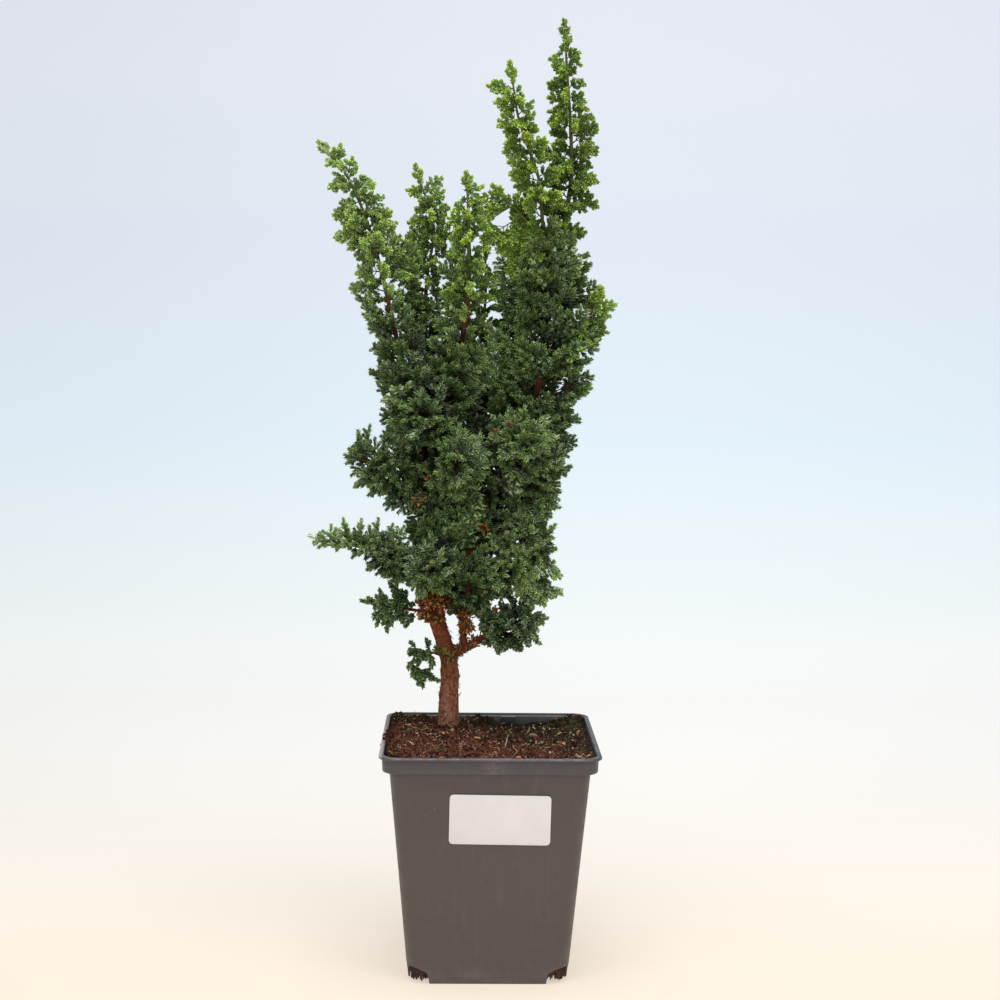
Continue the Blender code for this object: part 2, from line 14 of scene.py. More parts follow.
import bmesh
import bpy
from mathutils import Matrix, Vector, noise
from mathutils.bvhtree import BVHTree


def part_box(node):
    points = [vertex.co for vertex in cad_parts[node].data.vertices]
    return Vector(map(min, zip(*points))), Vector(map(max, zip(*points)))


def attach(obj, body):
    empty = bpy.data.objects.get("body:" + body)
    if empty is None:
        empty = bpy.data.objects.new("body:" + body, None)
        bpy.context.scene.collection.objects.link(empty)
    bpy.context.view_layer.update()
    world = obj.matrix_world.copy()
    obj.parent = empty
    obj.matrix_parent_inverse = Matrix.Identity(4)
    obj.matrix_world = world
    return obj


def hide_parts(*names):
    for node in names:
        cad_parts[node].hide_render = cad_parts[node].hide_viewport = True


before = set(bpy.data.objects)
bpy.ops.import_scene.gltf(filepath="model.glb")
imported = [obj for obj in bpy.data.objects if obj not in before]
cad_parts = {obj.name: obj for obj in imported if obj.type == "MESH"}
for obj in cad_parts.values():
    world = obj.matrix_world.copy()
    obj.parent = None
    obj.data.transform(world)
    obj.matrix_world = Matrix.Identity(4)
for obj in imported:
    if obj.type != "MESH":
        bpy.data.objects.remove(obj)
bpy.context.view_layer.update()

BMesh = bmesh.types.BMesh
BMVert = bmesh.types.BMVert
Material = bpy.types.Material
Mesh = bpy.types.Mesh
Object = bpy.types.Object
Socket = bpy.types.NodeSocket
Colour = tuple[float, float, float]
Pair = tuple[float, float]
Spot = tuple[Vector, Vector, bool]

MM = 0.001
GOLDEN_TURN = radians(137.5)
UP = Vector((0, 0, 1))
BACK = Vector((0, 1, 0))
RIGHT = Vector((1, 0, 0))
SIX_WAYS = (UP, -UP, BACK, -BACK, RIGHT, -RIGHT)
FURTHEST_RAY = 60.0
LIT_DEPTH = 1.6
DARK_DEPTH = 10.0

log = logging.getLogger("bonsai")


def pot_frame() -> Matrix:
    """The matrix from pot millimetres to the row frame's metres.

    Returns:
        The matrix.
    """
    low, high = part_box("pot")
    middle = (low + high) / 2
    return Matrix.Translation((middle.x, middle.y, 0)) @ Matrix.Scale(MM, 4)


TO_ROW = pot_frame()
TO_POT = TO_ROW.inverted()


# Shader maths


class Field:
    """A number that varies over a surface, written with ordinary operators."""

    def __init__(self, bench: "Bench", socket: Socket) -> None:
        """Keep the socket and the bench whose tree it is in."""
        self.bench = bench
        self.socket = socket

    def _maths(self, operation: str, *values: "Field | float") -> "Field":
        """The result of one Math node's operation on some values."""
        made = self.bench.node("ShaderNodeMath", {"operation": operation}, dict(enumerate(values)))
        return Field(self.bench, made.outputs[0])

    def __add__(self, other: "Field | float") -> "Field":
        """The sum."""
        return self._maths("ADD", self, other)

    def __sub__(self, other: "Field | float") -> "Field":
        """The difference."""
        return self._maths("SUBTRACT", self, other)

    def __rsub__(self, other: float) -> "Field":
        """A number less this field."""
        return self._maths("SUBTRACT", other, self)

    def __mul__(self, other: "Field | float") -> "Field":
        """The product."""
        return self._maths("MULTIPLY", self, other)

    def __pow__(self, other: "Field | float") -> "Field":
        """The power."""
        return self._maths("POWER", self, other)

    __radd__ = __add__
    __rmul__ = __mul__

    def most(self, other: "Field | float") -> "Field":
        """The larger of the two."""
        return self._maths("MAXIMUM", self, other)

    def between(self, low: float, high: float) -> "Field":
        """Rescale so that low becomes 0 and high becomes 1, with a soft start and end."""
        made = self.bench.node("ShaderNodeMapRange", {"interpolation_type": "SMOOTHSTEP"},
                               {"Value": self, "From Min": low, "From Max": high})
        return Field(self.bench, made.outputs["Result"])


class Bench:
    """One material's node tree with a Principled shader at its end."""

    def __init__(self, name: str) -> None:
        """Start a material.

        Args:
            name: The material's name.
        """
        self.material = bpy.data.materials.new(name)
        self.material.use_nodes = True
        self.tree = self.material.node_tree
        self.shader = self.tree.nodes["Principled BSDF"]
        coordinates = self.node("ShaderNodeTexCoord", {}, {})
        self.place = coordinates.outputs["Object"]

    def node(self, kind: str, settings: dict, inputs: dict) -> bpy.types.Node:
        """Add a node.

        Args:
            kind: The node's type.
            settings: Its own settings.
            inputs: A value or a link for each socket, by name or number.

        Returns:
            The node.
        """
        made = self.tree.nodes.new(kind)
        for setting, value in settings.items():
            setattr(made, setting, value)
        for socket, value in inputs.items():
            self.plug(made.inputs[socket], value)
        return made

    def plug(self, socket: Socket, value: object) -> None:
        """Link a field or socket into a socket, or set the socket's own value.

        Args:
            socket: The socket.
            value: A field, a socket, or a value of the socket's own kind.
        """
        if isinstance(value, Field):
            value = value.socket
        if socket.type == "RGBA" and isinstance(value, tuple) and len(value) == 3:
            value = (*value, 1)
        if isinstance(value, Socket):
            self.tree.links.new(value, socket)
        else:
            socket.default_value = value

    def ramp(self, stops: Sequence[tuple], at: Field) -> Socket:
        """Colour a field.

        Args:
            stops: The (number, colour) pairs that the colours run between.
            at: The field.

        Returns:
            The colour's socket.
        """
        made = self.node("ShaderNodeValToRGB", {}, {"Fac": at})
        elements = made.color_ramp.elements
        while len(elements) > 1:
            elements.remove(elements[-1])
        elements[0].position = stops[0][0]
        elements[0].color = (*stops[0][1], 1)
        for position, colour in stops[1:]:
            elements.new(position).color = (*colour, 1)
        return made.outputs["Color"]

    def noise(self, size: float, stretch: Sequence[float] = (1, 1, 1), detail: float = 3,
              rough: float = 0.55) -> Field:
        """Cloudy noise on the object's coordinates.

        Args:
            size: The width of one patch in millimetres.
            stretch: How much longer the patches are along each axis.
            detail: How many finer layers it has.
            rough: How strong the finer layers are.

        Returns:
            A field from 0 to 1.
        """
        scale = tuple(1 / (size * MM * factor) for factor in stretch)
        mapped = self.node("ShaderNodeMapping", {}, {"Vector": self.place, "Scale": scale})
        made = self.node("ShaderNodeTexNoise", {}, {"Vector": mapped.outputs[0], "Scale": 1.0,
                                                    "Detail": detail, "Roughness": rough})
        return Field(self, made.outputs[0])

    def along(self, axis: str) -> Field:
        """The distance along one axis of the pot's frame in millimetres."""
        split = self.node("ShaderNodeSeparateXYZ", {}, {0: self.place})
        return Field(self, split.outputs[axis]) * (1 / MM) + TO_POT.translation["XYZ".index(axis)]

    def attribute(self, name: str) -> Field:
        """A number kept on the mesh's points."""
        made = self.node("ShaderNodeAttribute", {"attribute_name": name}, {})
        return Field(self, made.outputs["Fac"])

    def blend(self, share: Field | float, first: object, second: object) -> Socket:
        """Mix two colours or their sockets, share being how much there is of the second."""
        made = self.node("ShaderNodeMix", {"data_type": "RGBA"}, {0: share, 6: first, 7: second})
        return made.outputs[2]

    def bump(self, height: Field, depth: float, strength: float = 1.0) -> None:
        """Feed a field from 0 to 1 to the shader's normal as a relief of a depth in millimetres."""
        made = self.node("ShaderNodeBump", {}, {"Strength": strength, "Distance": depth * MM,
                                                "Height": height})
        self.plug(self.shader.inputs["Normal"], made.outputs[0])

    def dress(self, **inputs: object) -> Material:
        """Set the shader's sockets, with each name's spaces written as underscores.

        Returns:
            The finished material.
        """
        for name, value in inputs.items():
            self.plug(self.shader.inputs[name.replace("_", " ")], value)
        return self.material


# Finishes


@dataclass(frozen=True)
class MouldedPlastic:
    """Charcoal plastic with a fine moulded grain, pale dust and a few rubbed marks, with painted shade inside
    the collar and on the rim's top and painted highlights along the rim and the tab's top.
    """

    body: Colour = (0.081, 0.066, 0.062)
    cooler: Colour = (0.066, 0.062, 0.072)
    dust_and_highlight: Colour = (0.34, 0.31, 0.3)
    # The colour of the painted shade on the rim's top
    dull: Colour = (0.03, 0.026, 0.026)
    painted_shade: Colour = (0.016, 0.02, 0.021)
    roughness: float = 0.5
    collar: Pair = (108.8, 109.6)
    lip: float = 118.0
    opening_straight: float = 44.2
    opening_corner: Pair = (8.45, 8.7)
    smear: Pair = (2.0, 7.5)

    def inside(self, across: Field, back: Field, height: Field) -> Field:
        """1 on the faces inside the collar, whose opening is a square with round corners.

        Args:
            across: How far it is to the right of the pot's middle.
            back: How far it is behind the pot's middle.
            height: The height.

        Returns:
            A mask from 0 to 1.
        """
        over = [(side.most(side * -1) - self.opening_straight).most(0.0) for side in (across, back)]
        aside = (over[0] * over[0] + over[1] * over[1]) ** 0.5
        low = self.collar[1]
        return (1 - aside.between(*self.opening_corner)) * height.between(low, low + 0.4)

    def rim_dust_and_highlight(self, bench: Bench, across: Field, front_edge: Field, height: Field) -> Field:
        """Pale dust patches on the rim, more along the front edge, where they also make a thin painted
        highlight, and a broad painted highlight along the left rim.

        Args:
            bench: The material's bench.
            across: How far it is to the right of the pot's middle.
            front_edge: 1 along the front edge.
            height: The height.

        Returns:
            How much pale dust and painted highlight there is.
        """
        left_edge = 1 - across.between(-54.2, -52.4)
        patches = bench.noise(5, detail=4).between(0.46, 0.72)
        # Pale dust patches, stronger along the front edge, where they stand for a thin painted highlight as
        # well
        dust_and_highlight = height.between(self.lip - 1.1, self.lip - 0.1) * patches * (front_edge * 0.12 + 0.16)
        # A broad pale band along the left rim: painted highlight
        return dust_and_highlight + height.between(self.lip - 1.5, self.lip - 0.4) * left_edge * 0.75

    def tab_top_highlight(self, back: Field, height: Field) -> Field:
        """A painted highlight along the pale top of the tab inside the back rim."""
        level = height.between(116.3, 116.7) * (1 - height.between(116.9, 117.2))
        return level * back.between(50.3, 50.8) * (1 - back.between(52.2, 52.9)) * 0.8

    def handled(self, bench: Bench, across: Field, back: Field) -> Field:
        """The pale smear that fingers have left on the front of the collar.

        Args:
            bench: The material's bench.
            across: How far it is to the right of the pot's middle.
            back: How far it is behind the pot's middle.

        Returns:
            How pale it is.
        """
        middle, half = self.smear
        off = (across - middle) * (1 / half)
        near = (1 - off * off).most(0.0) * (1 - back.between(-52.5, -51.0))
        return near * bench.noise(2.0, detail=4).between(0.35, 0.7) * 0.2

    def material(self) -> Material:
        """Build the material.

        Returns:
            The material.
        """
        bench = Bench("pot_plastic")
        across, back, height = (bench.along(axis) for axis in "XYZ")
        cloud = bench.noise(38, detail=4)
        collar = height.between(*self.collar)
        front_edge = 1 - back.between(-54.9, -53.9)
        body = bench.blend((cloud.between(0.3, 0.75) * 0.3).most(height.between(66, 112) * 0.5),
                           self.body, self.cooler)
        body = bench.blend(collar * 0.9, body, self.cooler)
        # Painted shade on the faces inside the collar
        body = bench.blend(self.inside(across, back, height) * 0.8, body, self.painted_shade)
        # Painted shade on the rim's top, all but its front edge
        body = bench.blend(height.between(self.lip - 0.8, self.lip - 0.2) * (1 - front_edge) * 0.55, body,
                           self.dull)
        specks = bench.noise(0.55, detail=2).between(0.69, 0.76) * bench.noise(14).between(0.42, 0.66)
        streaks = bench.noise(3.2, (1, 1, 9), detail=3).between(0.56, 0.74) * 0.045
        low_dirt = (1 - height.between(3, 17)) * bench.noise(7, detail=4).between(0.4, 0.75) * 0.1
        # Dirt, pale dust and painted highlights, all mixed towards the same pale colour
        dirt_and_highlights = specks.most(self.rim_dust_and_highlight(bench, across, front_edge, height)).most(streaks).most(low_dirt)
        dirt_and_highlights = dirt_and_highlights.most(self.handled(bench, across, back) * collar).most(self.tab_top_highlight(back, height))
        grain = bench.noise(0.32, detail=2)
        rubbed = bench.noise(9, (1, 1, 0.4), detail=5).between(0.4, 0.7)
        bench.bump(grain * 0.6 + cloud * 0.5, 0.05, 0.5)
        return bench.dress(Base_Color=bench.blend(dirt_and_highlights, body, self.dust_and_highlight),
                           Roughness=rubbed * 0.14 + (self.roughness - 0.06) + dirt_and_highlights * 0.3)


@dataclass(frozen=True)
class PaperCard:
    """Bare coated card, faintly mottled."""

    face: Colour = (0.75, 0.735, 0.745)
    shade: Colour = (0.7, 0.68, 0.69)

    def material(self) -> Material:
        """Build the material.

        Returns:
            The material.
        """
        bench = Bench("label_card")
        fibre = bench.noise(0.5, (3, 1, 1), detail=3)
        mottle = bench.noise(13, detail=2)
        bench.bump(fibre, 0.02, 0.4)
        return bench.dress(Base_Color=bench.blend(mottle.between(0.35, 0.7) * 0.5 + fibre * 0.15,
                                                  self.face, self.shade),
                           Roughness=mottle * 0.12 + 0.34)


@dataclass(frozen=True)
class Peat:
    """Dark, damp peat with redder crumbs, and painted shade between the clods and along the pot's walls."""

    dark: Colour = (0.01, 0.005, 0.0035)
    warm: Colour = (0.125, 0.037, 0.018)
    dry: Colour = (0.28, 0.18, 0.12)
    greenish: Colour = (0.028, 0.026, 0.012)

    def material(self) -> Material:
        """Build the material.

        Returns:
            The material.
        """
        bench = Bench("peat")
        crumbs = bench.noise(2.4, detail=5, rough=0.7)
        patches = bench.noise(11, detail=3)
        colour = bench.blend(crumbs.between(0.38, 0.64), self.dark, self.warm)
        mossy = (bench.along("X") * 0.8 + bench.along("Y")).between(-22, 24) * patches.between(0.3, 0.55)
        colour = bench.blend(mossy * 0.85, colour, self.greenish)
        damp = bench.noise(7, detail=4).between(0.47, 0.6)
        damp = damp * (bench.along("X") * 0.5 + bench.along("Y")).between(-25, 35)
        colour = bench.blend(damp * 0.85, colour, self.dark)
        # Painted shade between the clods and along the pot's walls
        colour = bench.blend(bench.attribute("soil_shade") * 0.85, colour, self.dark)
        dry = bench.noise(0.9, detail=3).between(0.6, 0.74) * patches.between(0.35, 0.6)
        bench.bump(crumbs + bench.noise(0.6, detail=2) * 0.5, 0.9, 1.0)
        return bench.dress(Base_Color=bench.blend(dry * 0.6, colour, self.dry),
                           Roughness=0.98 - patches * 0.2, Specular_IOR_Level=0.1)


@dataclass(frozen=True)
class Bark:
    """Peeling red-brown bark, greyer low on the trunk, turning green on young stems, with painted shade where
    it lies deep in the crown.
    """

    red: Colour = (0.38, 0.115, 0.05)
    deep: Colour = (0.066, 0.021, 0.011)
    orange: Colour = (0.56, 0.22, 0.085)
    grey: Colour = (0.38, 0.25, 0.19)
    fleck: Colour = (0.55, 0.4, 0.31)
    green: Colour = (0.12, 0.175, 0.035)
    blush: Colour = (0.2, 0.045, 0.02)
    painted_shade: Colour = (0.016, 0.008, 0.005)
    greening: Pair = (332, 362)
    name: str = "red_bark"

    def material(self) -> Material:
        """Build the material.

        Returns:
            The material.
        """
        bench = Bench(self.name)
        strips = bench.noise(0.9, (0.8, 0.8, 1.9), detail=6, rough=0.74)
        flakes = bench.noise(2.2, (1, 1, 1.3), detail=4)
        flecks = bench.noise(0.7, (0.9, 0.9, 2.2), detail=3).between(0.57, 0.66)
        height = bench.along("Z")
        fork = height.between(142, 165) * 0.45 + 0.35
        colour = bench.blend(strips.between(0.38, 0.6), self.deep, self.red)
        colour = bench.blend(flakes.between(0.47, 0.66) * fork, colour, self.orange)
        low = (1 - height.between(128, 158)) * bench.noise(3.4, (1, 1, 2), detail=4).between(0.42, 0.62)
        colour = bench.blend(low * 0.5, colour, self.grey)
        above = height.between(154, 168)
        colour = bench.blend(above * 0.68, colour, self.blush)
        colour = bench.blend(flecks * (above * -0.4 + 0.64), colour, self.fleck)
        colour = bench.blend(strips.between(0.36, 0.46) * -0.55 + 0.55, colour, self.deep)
        young = height.between(*self.greening).most(1 - bench.along("X").between(-72, -60)) * 0.9
        colour = bench.blend(young, colour, self.green)
        bench.bump(strips + flakes * 0.6, 1.3, 1.0)
        # Painted shade: darker the deeper the wood lies in the crown
        return bench.dress(Base_Color=bench.blend(bench.attribute("shade") * 0.85, colour, self.painted_shade),
                           Roughness=0.95 - strips * 0.25, Specular_IOR_Level=0.2)


@dataclass(frozen=True)
class Leaf:
    """Awl leaves: dark and bluish, with painted shade deep inside the crown, yellow-green on young tips, pale
    beneath, and a painted highlight at each leaf's end.
    """

    name: str = "leaf_dark"
    old: Colour = (0.012, 0.04, 0.01)
    old_tip: Colour = (0.27, 0.44, 0.135)
    young: Colour = (0.12, 0.23, 0.035)
    young_tip: Colour = (0.46, 0.6, 0.13)
    bloom: Colour = (0.55, 0.68, 0.48)
    rust: Colour = (0.26, 0.13, 0.03)
    painted_shade: Colour = (0.005, 0.009, 0.004)

    def material(self) -> Material:
        """Build the material.

        Returns:
            The material.
        """
        bench = Bench(self.name)
        reach = bench.attribute("reach")
        age = bench.attribute("age")
        patches = bench.noise(9, detail=3)
        speckle = bench.noise(1.1, detail=2)
        # The leaves' ends are lighter than their bases: partly newer growth at a shoot's end, partly painted
        # highlight on the ends and painted shade at the bases
        tip = reach.between(0.18, 1.0)
        old = bench.blend(tip * (speckle * 0.6 + 0.55), self.old, self.old_tip)
        young = bench.blend(tip, self.young, self.young_tip)
        colour = bench.blend(age * (patches * 0.5 + 0.75), old, young)
        colour = bench.blend(bench.attribute("line") * bench.attribute("bloom"), colour, self.bloom)
        colour = bench.blend(bench.attribute("rust") * tip, colour, self.rust)
        # Painted shade: darker the deeper the shoot lies in the crown
        colour = bench.blend(bench.attribute("shade") * 0.85, colour, self.painted_shade)
        return bench.dress(Base_Color=colour, Roughness=speckle * 0.2 + 0.42, Specular_IOR_Level=0.25)


@dataclass(frozen=True)
class DeadLeaf:
    """Dry foliage, from amber through rust and dark red to olive."""

    stops: tuple = ((0.0, (0.52, 0.26, 0.05)), (0.25, (0.4, 0.12, 0.027)), (0.5, (0.17, 0.04, 0.017)),
                    (0.7, (0.07, 0.026, 0.013)), (0.85, (0.13, 0.12, 0.035)), (1.0, (0.3, 0.27, 0.07)))

    def material(self) -> Material:
        """Build the material.

        Returns:
            The material.
        """
        bench = Bench("leaf_dead")
        mottle = bench.noise(1.6, detail=3)
        tint = bench.attribute("age") + mottle * 0.3 - 0.15
        return bench.dress(Base_Color=bench.ramp(self.stops, tint), Roughness=mottle * 0.15 + 0.7,
                           Specular_IOR_Level=0.2)


@dataclass(frozen=True)
class SoilBits:
    """Chips of bark, seed husks and leaf scraps of several colours."""

    stops: tuple = ((0.0, (0.5, 0.38, 0.23)), (0.3, (0.42, 0.2, 0.09)), (0.6, (0.2, 0.2, 0.06)),
                    (0.8, (0.27, 0.19, 0.12)), (1.0, (0.05, 0.03, 0.02)))

    def material(self) -> Material:
        """Build the material.

        Returns:
            The material.
        """
        bench = Bench("soil_bits")
        mottle = bench.noise(0.6, detail=3)
        tint = bench.attribute("age") + mottle * 0.2
        bench.bump(mottle, 0.2, 0.6)
        return bench.dress(Base_Color=bench.ramp(self.stops, tint), Roughness=mottle * 0.2 + 0.6,
                           Specular_IOR_Level=0.2)


@dataclass(frozen=True)
class DryStem:
    """Bleached straw and root fibres."""

    name: str = "straw"
    pale: Colour = (0.5, 0.37, 0.2)
    brown: Colour = (0.16, 0.07, 0.035)

    def material(self) -> Material:
        """Build the material.

        Returns:
            The material.
        """
        bench = Bench(self.name)
        fibre = bench.noise(0.7, detail=3)
        tint = bench.noise(6, detail=2).between(0.35, 0.65) * 0.5 + fibre * 0.3
        bench.bump(fibre, 0.15, 0.5)
        return bench.dress(Base_Color=bench.blend(tint, self.pale, self.brown),
                           Roughness=fibre * 0.2 + 0.62)


@dataclass(frozen=True)
class Moss:
    """Cushions of moss with lighter tips."""

    deep: Colour = (0.02, 0.02, 0.008)
    light: Colour = (0.085, 0.1, 0.025)

    def material(self) -> Material:
        """Build the material.

        Returns:
            The material.
        """
        bench = Bench("moss")
        patch = bench.noise(3, detail=3)
        tip = bench.attribute("reach").between(0.2, 1.0)
        return bench.dress(Base_Color=bench.blend(tip * (patch + 0.3), self.deep, self.light),
                           Roughness=patch * 0.1 + 0.85)


@dataclass(frozen=True)
class Mineral:
    """Pale mineral grains."""

    pale: Colour = (0.66, 0.62, 0.56)
    dull: Colour = (0.3, 0.25, 0.2)

    def material(self) -> Material:
        """Build the material.

        Returns:
            The material.
        """
        bench = Bench("mineral_grain")
        mottle = bench.noise(1.4, detail=3)
        bench.bump(mottle, 0.2, 0.5)
        return bench.dress(Base_Color=bench.blend(mottle.between(0.35, 0.65), self.pale, self.dull),
                           Roughness=mottle * 0.2 + 0.6)


@dataclass(frozen=True)
class StudioSheet:
    """The studio's pale sheet: cream at the pot, cool white behind, then pale blue and grey-white.

    Each stop is a distance along the sheet, its depth and height together, and the colour there.
    """

    stops: tuple = ((-150.0, (0.885, 0.74, 0.6)), (60.0, (0.88, 0.8, 0.695)),
                    (350.0, (0.875, 0.855, 0.81)), (900.0, (0.93, 0.95, 0.935)),
                    (1310.0, (0.845, 0.945, 0.985)), (1520.0, (0.8, 0.913, 0.995)),
                    (1900.0, (0.785, 0.868, 0.958)), (2250.0, (0.825, 0.855, 0.943)))
    glow: float = 0.69
    lit_share: float = 0.34
    left_dimming: float = 0.06

    def material(self) -> Material:
        """Build the material.

        Returns:
            The material.
        """
        bench = Bench("studio_sheet")
        first = self.stops[0][0]
        length = self.stops[-1][0] - first
        stops = [((place - first) / length, colour) for place, colour in self.stops]
        along = bench.along("Y") + bench.along("Z") + bench.noise(260, detail=2) * 60.0 - 30.0 - first
        left = 1 - bench.along("X").between(-600, 250)
        black = (0.0, 0.0, 0.0)
        colour = bench.blend(left * self.left_dimming, bench.ramp(stops, along * (1 / length)), black)
        return bench.dress(Base_Color=bench.blend(self.lit_share, black, colour),
                           Roughness=0.9, Emission_Color=colour, Emission_Strength=self.glow)


# Making pieces


def clamp(value: float) -> float:
    """The value kept between 0 and 1."""
    return max(0.0, min(1.0, value))


def spin(rng: Random, size: int = 4) -> Matrix:
    """A random turn about Z."""
    return Matrix.Rotation(rng.uniform(0, tau), size, "Z")


def leaning(rng: Random, spread: float) -> Vector:
    """A random direction round straight up, not of unit length."""
    return Vector((rng.gauss(0, spread), rng.gauss(0, spread), 1))


def as_mesh(name: str, bm: BMesh) -> Mesh:
    """Turn a bmesh into a mesh and free the bmesh.

    Args:
        name: The mesh's name.
        bm: The bmesh.

    Returns:
        The mesh.
    """
    mesh = bpy.data.meshes.new(name)
    bm.to_mesh(mesh)
    bm.free()
    return mesh


def link(name: str, data: bpy.types.ID) -> Object:
    """Make an object of a mesh, lamp or camera and put it in the scene.

    Args:
        name: The object's name.
        data: The mesh, lamp or camera.

    Returns:
        The object.
    """
    made = bpy.data.objects.new(name, data)
    bpy.context.scene.collection.objects.link(made)
    return made


def smooth(mesh: Mesh, angle: float) -> None:
    """Shade a mesh smooth, but for edges that turn by more than an angle in degrees."""
    mesh.shade_smooth()
    mesh.set_sharp_from_angle(angle=radians(angle))


def as_object(name: str, bm: BMesh, finish: Material | None = None,
              smooth_angle: float | None = None) -> Object:
    """Turn a bmesh in pot millimetres into an object in the row frame.

    Args:
        name: The object's name.
        bm: The mesh, which is freed.
        finish: Its finish; None for a cutter and for a piece that gets its finish later.
        smooth_angle: In degrees, the turn past which an edge looks sharp; None for flat faces.

    Returns:
        The object, linked to the scene.
    """
    bmesh.ops.transform(bm, matrix=TO_ROW, verts=bm.verts)
    mesh = as_mesh(name, bm)
    if finish:
        mesh.materials.append(finish)
    if smooth_angle is not None:
        smooth(mesh, smooth_angle)
    return link(name, mesh)


def settle(piece: Object, slot: str, *nodes: str) -> None:
    """Let a piece ride on the plant, note its slot in the log and hide the CAD nodes that it stands for.

    Args:
        piece: The piece.
        slot: Its slot.
        nodes: The CAD nodes' names.
    """
    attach(piece, "root")
    if nodes:
        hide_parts(*nodes)
    piece.data.calc_loop_triangles()
    log.info("%s: %d triangles, slot %s", piece.name, len(piece.data.loop_triangles), slot)


def reshape(piece: Object, kind: str, **settings: object) -> None:
    """Run one modifier on a piece and keep what it makes.

    Args:
        piece: The piece, whose mesh is replaced.
        kind: The modifier's type.
        settings: The modifier's settings.
    """
    modifier = piece.modifiers.new(kind, kind)
    for setting, value in settings.items():
        setattr(modifier, setting, value)
    bpy.context.view_layer.update()
    graph = bpy.context.evaluated_depsgraph_get()
    shaped = bpy.data.meshes.new_from_object(piece.evaluated_get(graph))
    piece.modifiers.clear()
    old, piece.data = piece.data, shaped
    bpy.data.meshes.remove(old)
    shaped.name = piece.name


def cut(piece: Object, cutter: Object) -> None:
    """Take the cutter's shape out of a piece and remove the cutter."""
    reshape(piece, "BOOLEAN", operation="DIFFERENCE", solver="EXACT", object=cutter)
    bpy.data.objects.remove(cutter)


def facing(way: Vector, across: Vector = BACK) -> Matrix:
    """A turn that takes Z to a direction.

    Args:
        way: Where Z points.
        across: Roughly where Y points.

    Returns:
        The turn, as a 3 by 3 matrix.
    """
    z = way.normalized()
    x = across.cross(z)
    if x.length < 1e-4:
        x = RIGHT.cross(z)
    x.normalize()
    return Matrix((x, z.cross(x), z)).transposed()


def aim(place: Vector, way: Vector, across: Vector = BACK) -> Matrix:
    """A matrix that takes the origin to a place and turns as facing does."""
    return Matrix.Translation(place) @ facing(way, across).to_4x4()


def face_out(bm: BMesh) -> None:
    """Point every face outwards."""
    bmesh.ops.recalc_face_normals(bm, faces=bm.faces)


def block(size: Sequence[float]) -> BMesh:
    """A plain block round the origin.

    Args:
        size: Its width, depth and height.

    Returns:
        The block's bmesh.
    """
    bm = bmesh.new()
    bmesh.ops.create_cube(bm, size=1.0)
    bmesh.ops.scale(bm, vec=size, verts=bm.verts)
    return bm


def round_off(bm: BMesh, edges: Sequence, offset: float, segments: int) -> None:
    """Round off some edges."""
    bmesh.ops.bevel(bm, geom=edges, offset=offset, affect="EDGES", segments=segments, profile=0.5,
                    material=-1)


def add_cone(bm: BMesh, sides: int, lower: float, upper: float, depth: float, place: Matrix = Matrix(),
             standing: bool = True) -> list[BMVert]:
    """Add a cone along Z that stands at a place, or has its middle there, and return its points."""
    lift = Matrix.Translation((0, 0, depth / 2)) if standing else Matrix()
    return bmesh.ops.create_cone(bm, cap_ends=True, cap_tris=False, segments=sides, radius1=lower,
                                 radius2=upper, depth=depth, matrix=place @ lift)["verts"]


def pour(small: BMesh, large: BMesh) -> None:
    """Move all of a small mesh into a large one, which is far quicker than modelling in the large one.

    Args:
        small: The small mesh, which is freed.
        large: The large mesh.
    """
    mesh = as_mesh("poured", small)
    large.from_mesh(mesh)
    bpy.data.meshes.remove(mesh)


def plant_copy(bm: BMesh, shape: Mesh, place: Matrix, **values: float) -> None:
    """Add a copy of a ready-made shape.

    Args:
        bm: The mesh it is added to.
        shape: What is copied.
        place: Where it goes.
        values: What each named point attribute is set to, all over the copy.
    """
    made = shape.copy()
    made.transform(place)
    for name, value in values.items():
        made.attributes[name].data.foreach_set("value", [value] * len(made.vertices))
    bm.from_mesh(made)
    bpy.data.meshes.remove(made)


def add_tube(bm: BMesh, route: Sequence[Vector], radii: Sequence[float], sides: int) -> None:
    """Extrude a closed tube along a route.

    Args:
        bm: The mesh it is added to.
        route: The points along its middle.
        radii: Its radius at each point.
        sides: How many sides it has.
    """
    tangents = [(b - a).normalized() for a, b in zip(route[:1] + route[:-1], route[1:] + route[-1:])]
    rings = [aim(point, way) @ Matrix.Scale(radius, 4)
             for point, way, radius in zip(route, tangents, radii)]
    tube = bmesh.new()
    made = bmesh.ops.create_circle(tube, cap_ends=True, segments=sides, radius=1.0, matrix=rings[0])
    cap = made["verts"][0].link_faces[0]
    for before, after in zip(rings, rings[1:]):
        grown = bmesh.ops.extrude_face_region(tube, geom=[cap])["geom"]
        verts = [g for g in grown if isinstance(g, BMVert)]
        cap = next(g for g in grown if isinstance(g, bmesh.types.BMFace))
        bmesh.ops.transform(tube, matrix=after @ before.inverted(), verts=verts)
    face_out(tube)
    pour(tube, bm)


def smooth_route(points: Sequence[tuple], step: float) -> list[Vector]:
    """Points along a smooth curve through a few given ones.

    Args:
        points: The given points.
        step: The rough distance between the new points.

    Returns:
        The new points, with the given ones among them.
    """
    route = [Vector(p) for p in points]
    ends = [2 * route[0] - route[1], *route, 2 * route[-1] - route[-2]]
    curve = []
    for a, b, c, d in zip(ends, ends[1:], ends[2:], ends[3:]):
        pieces = max(1, round((c - b).length / step))
        for i in range(pieces):
            t = i / pieces
            curve.append(0.5 * (2 * b + (c - a) * t + (2 * a - 5 * b + 4 * c - d) * t ** 2
                                + (3 * b - a - 3 * c + d) * t ** 3))
    curve.append(route[-1])
    return curve


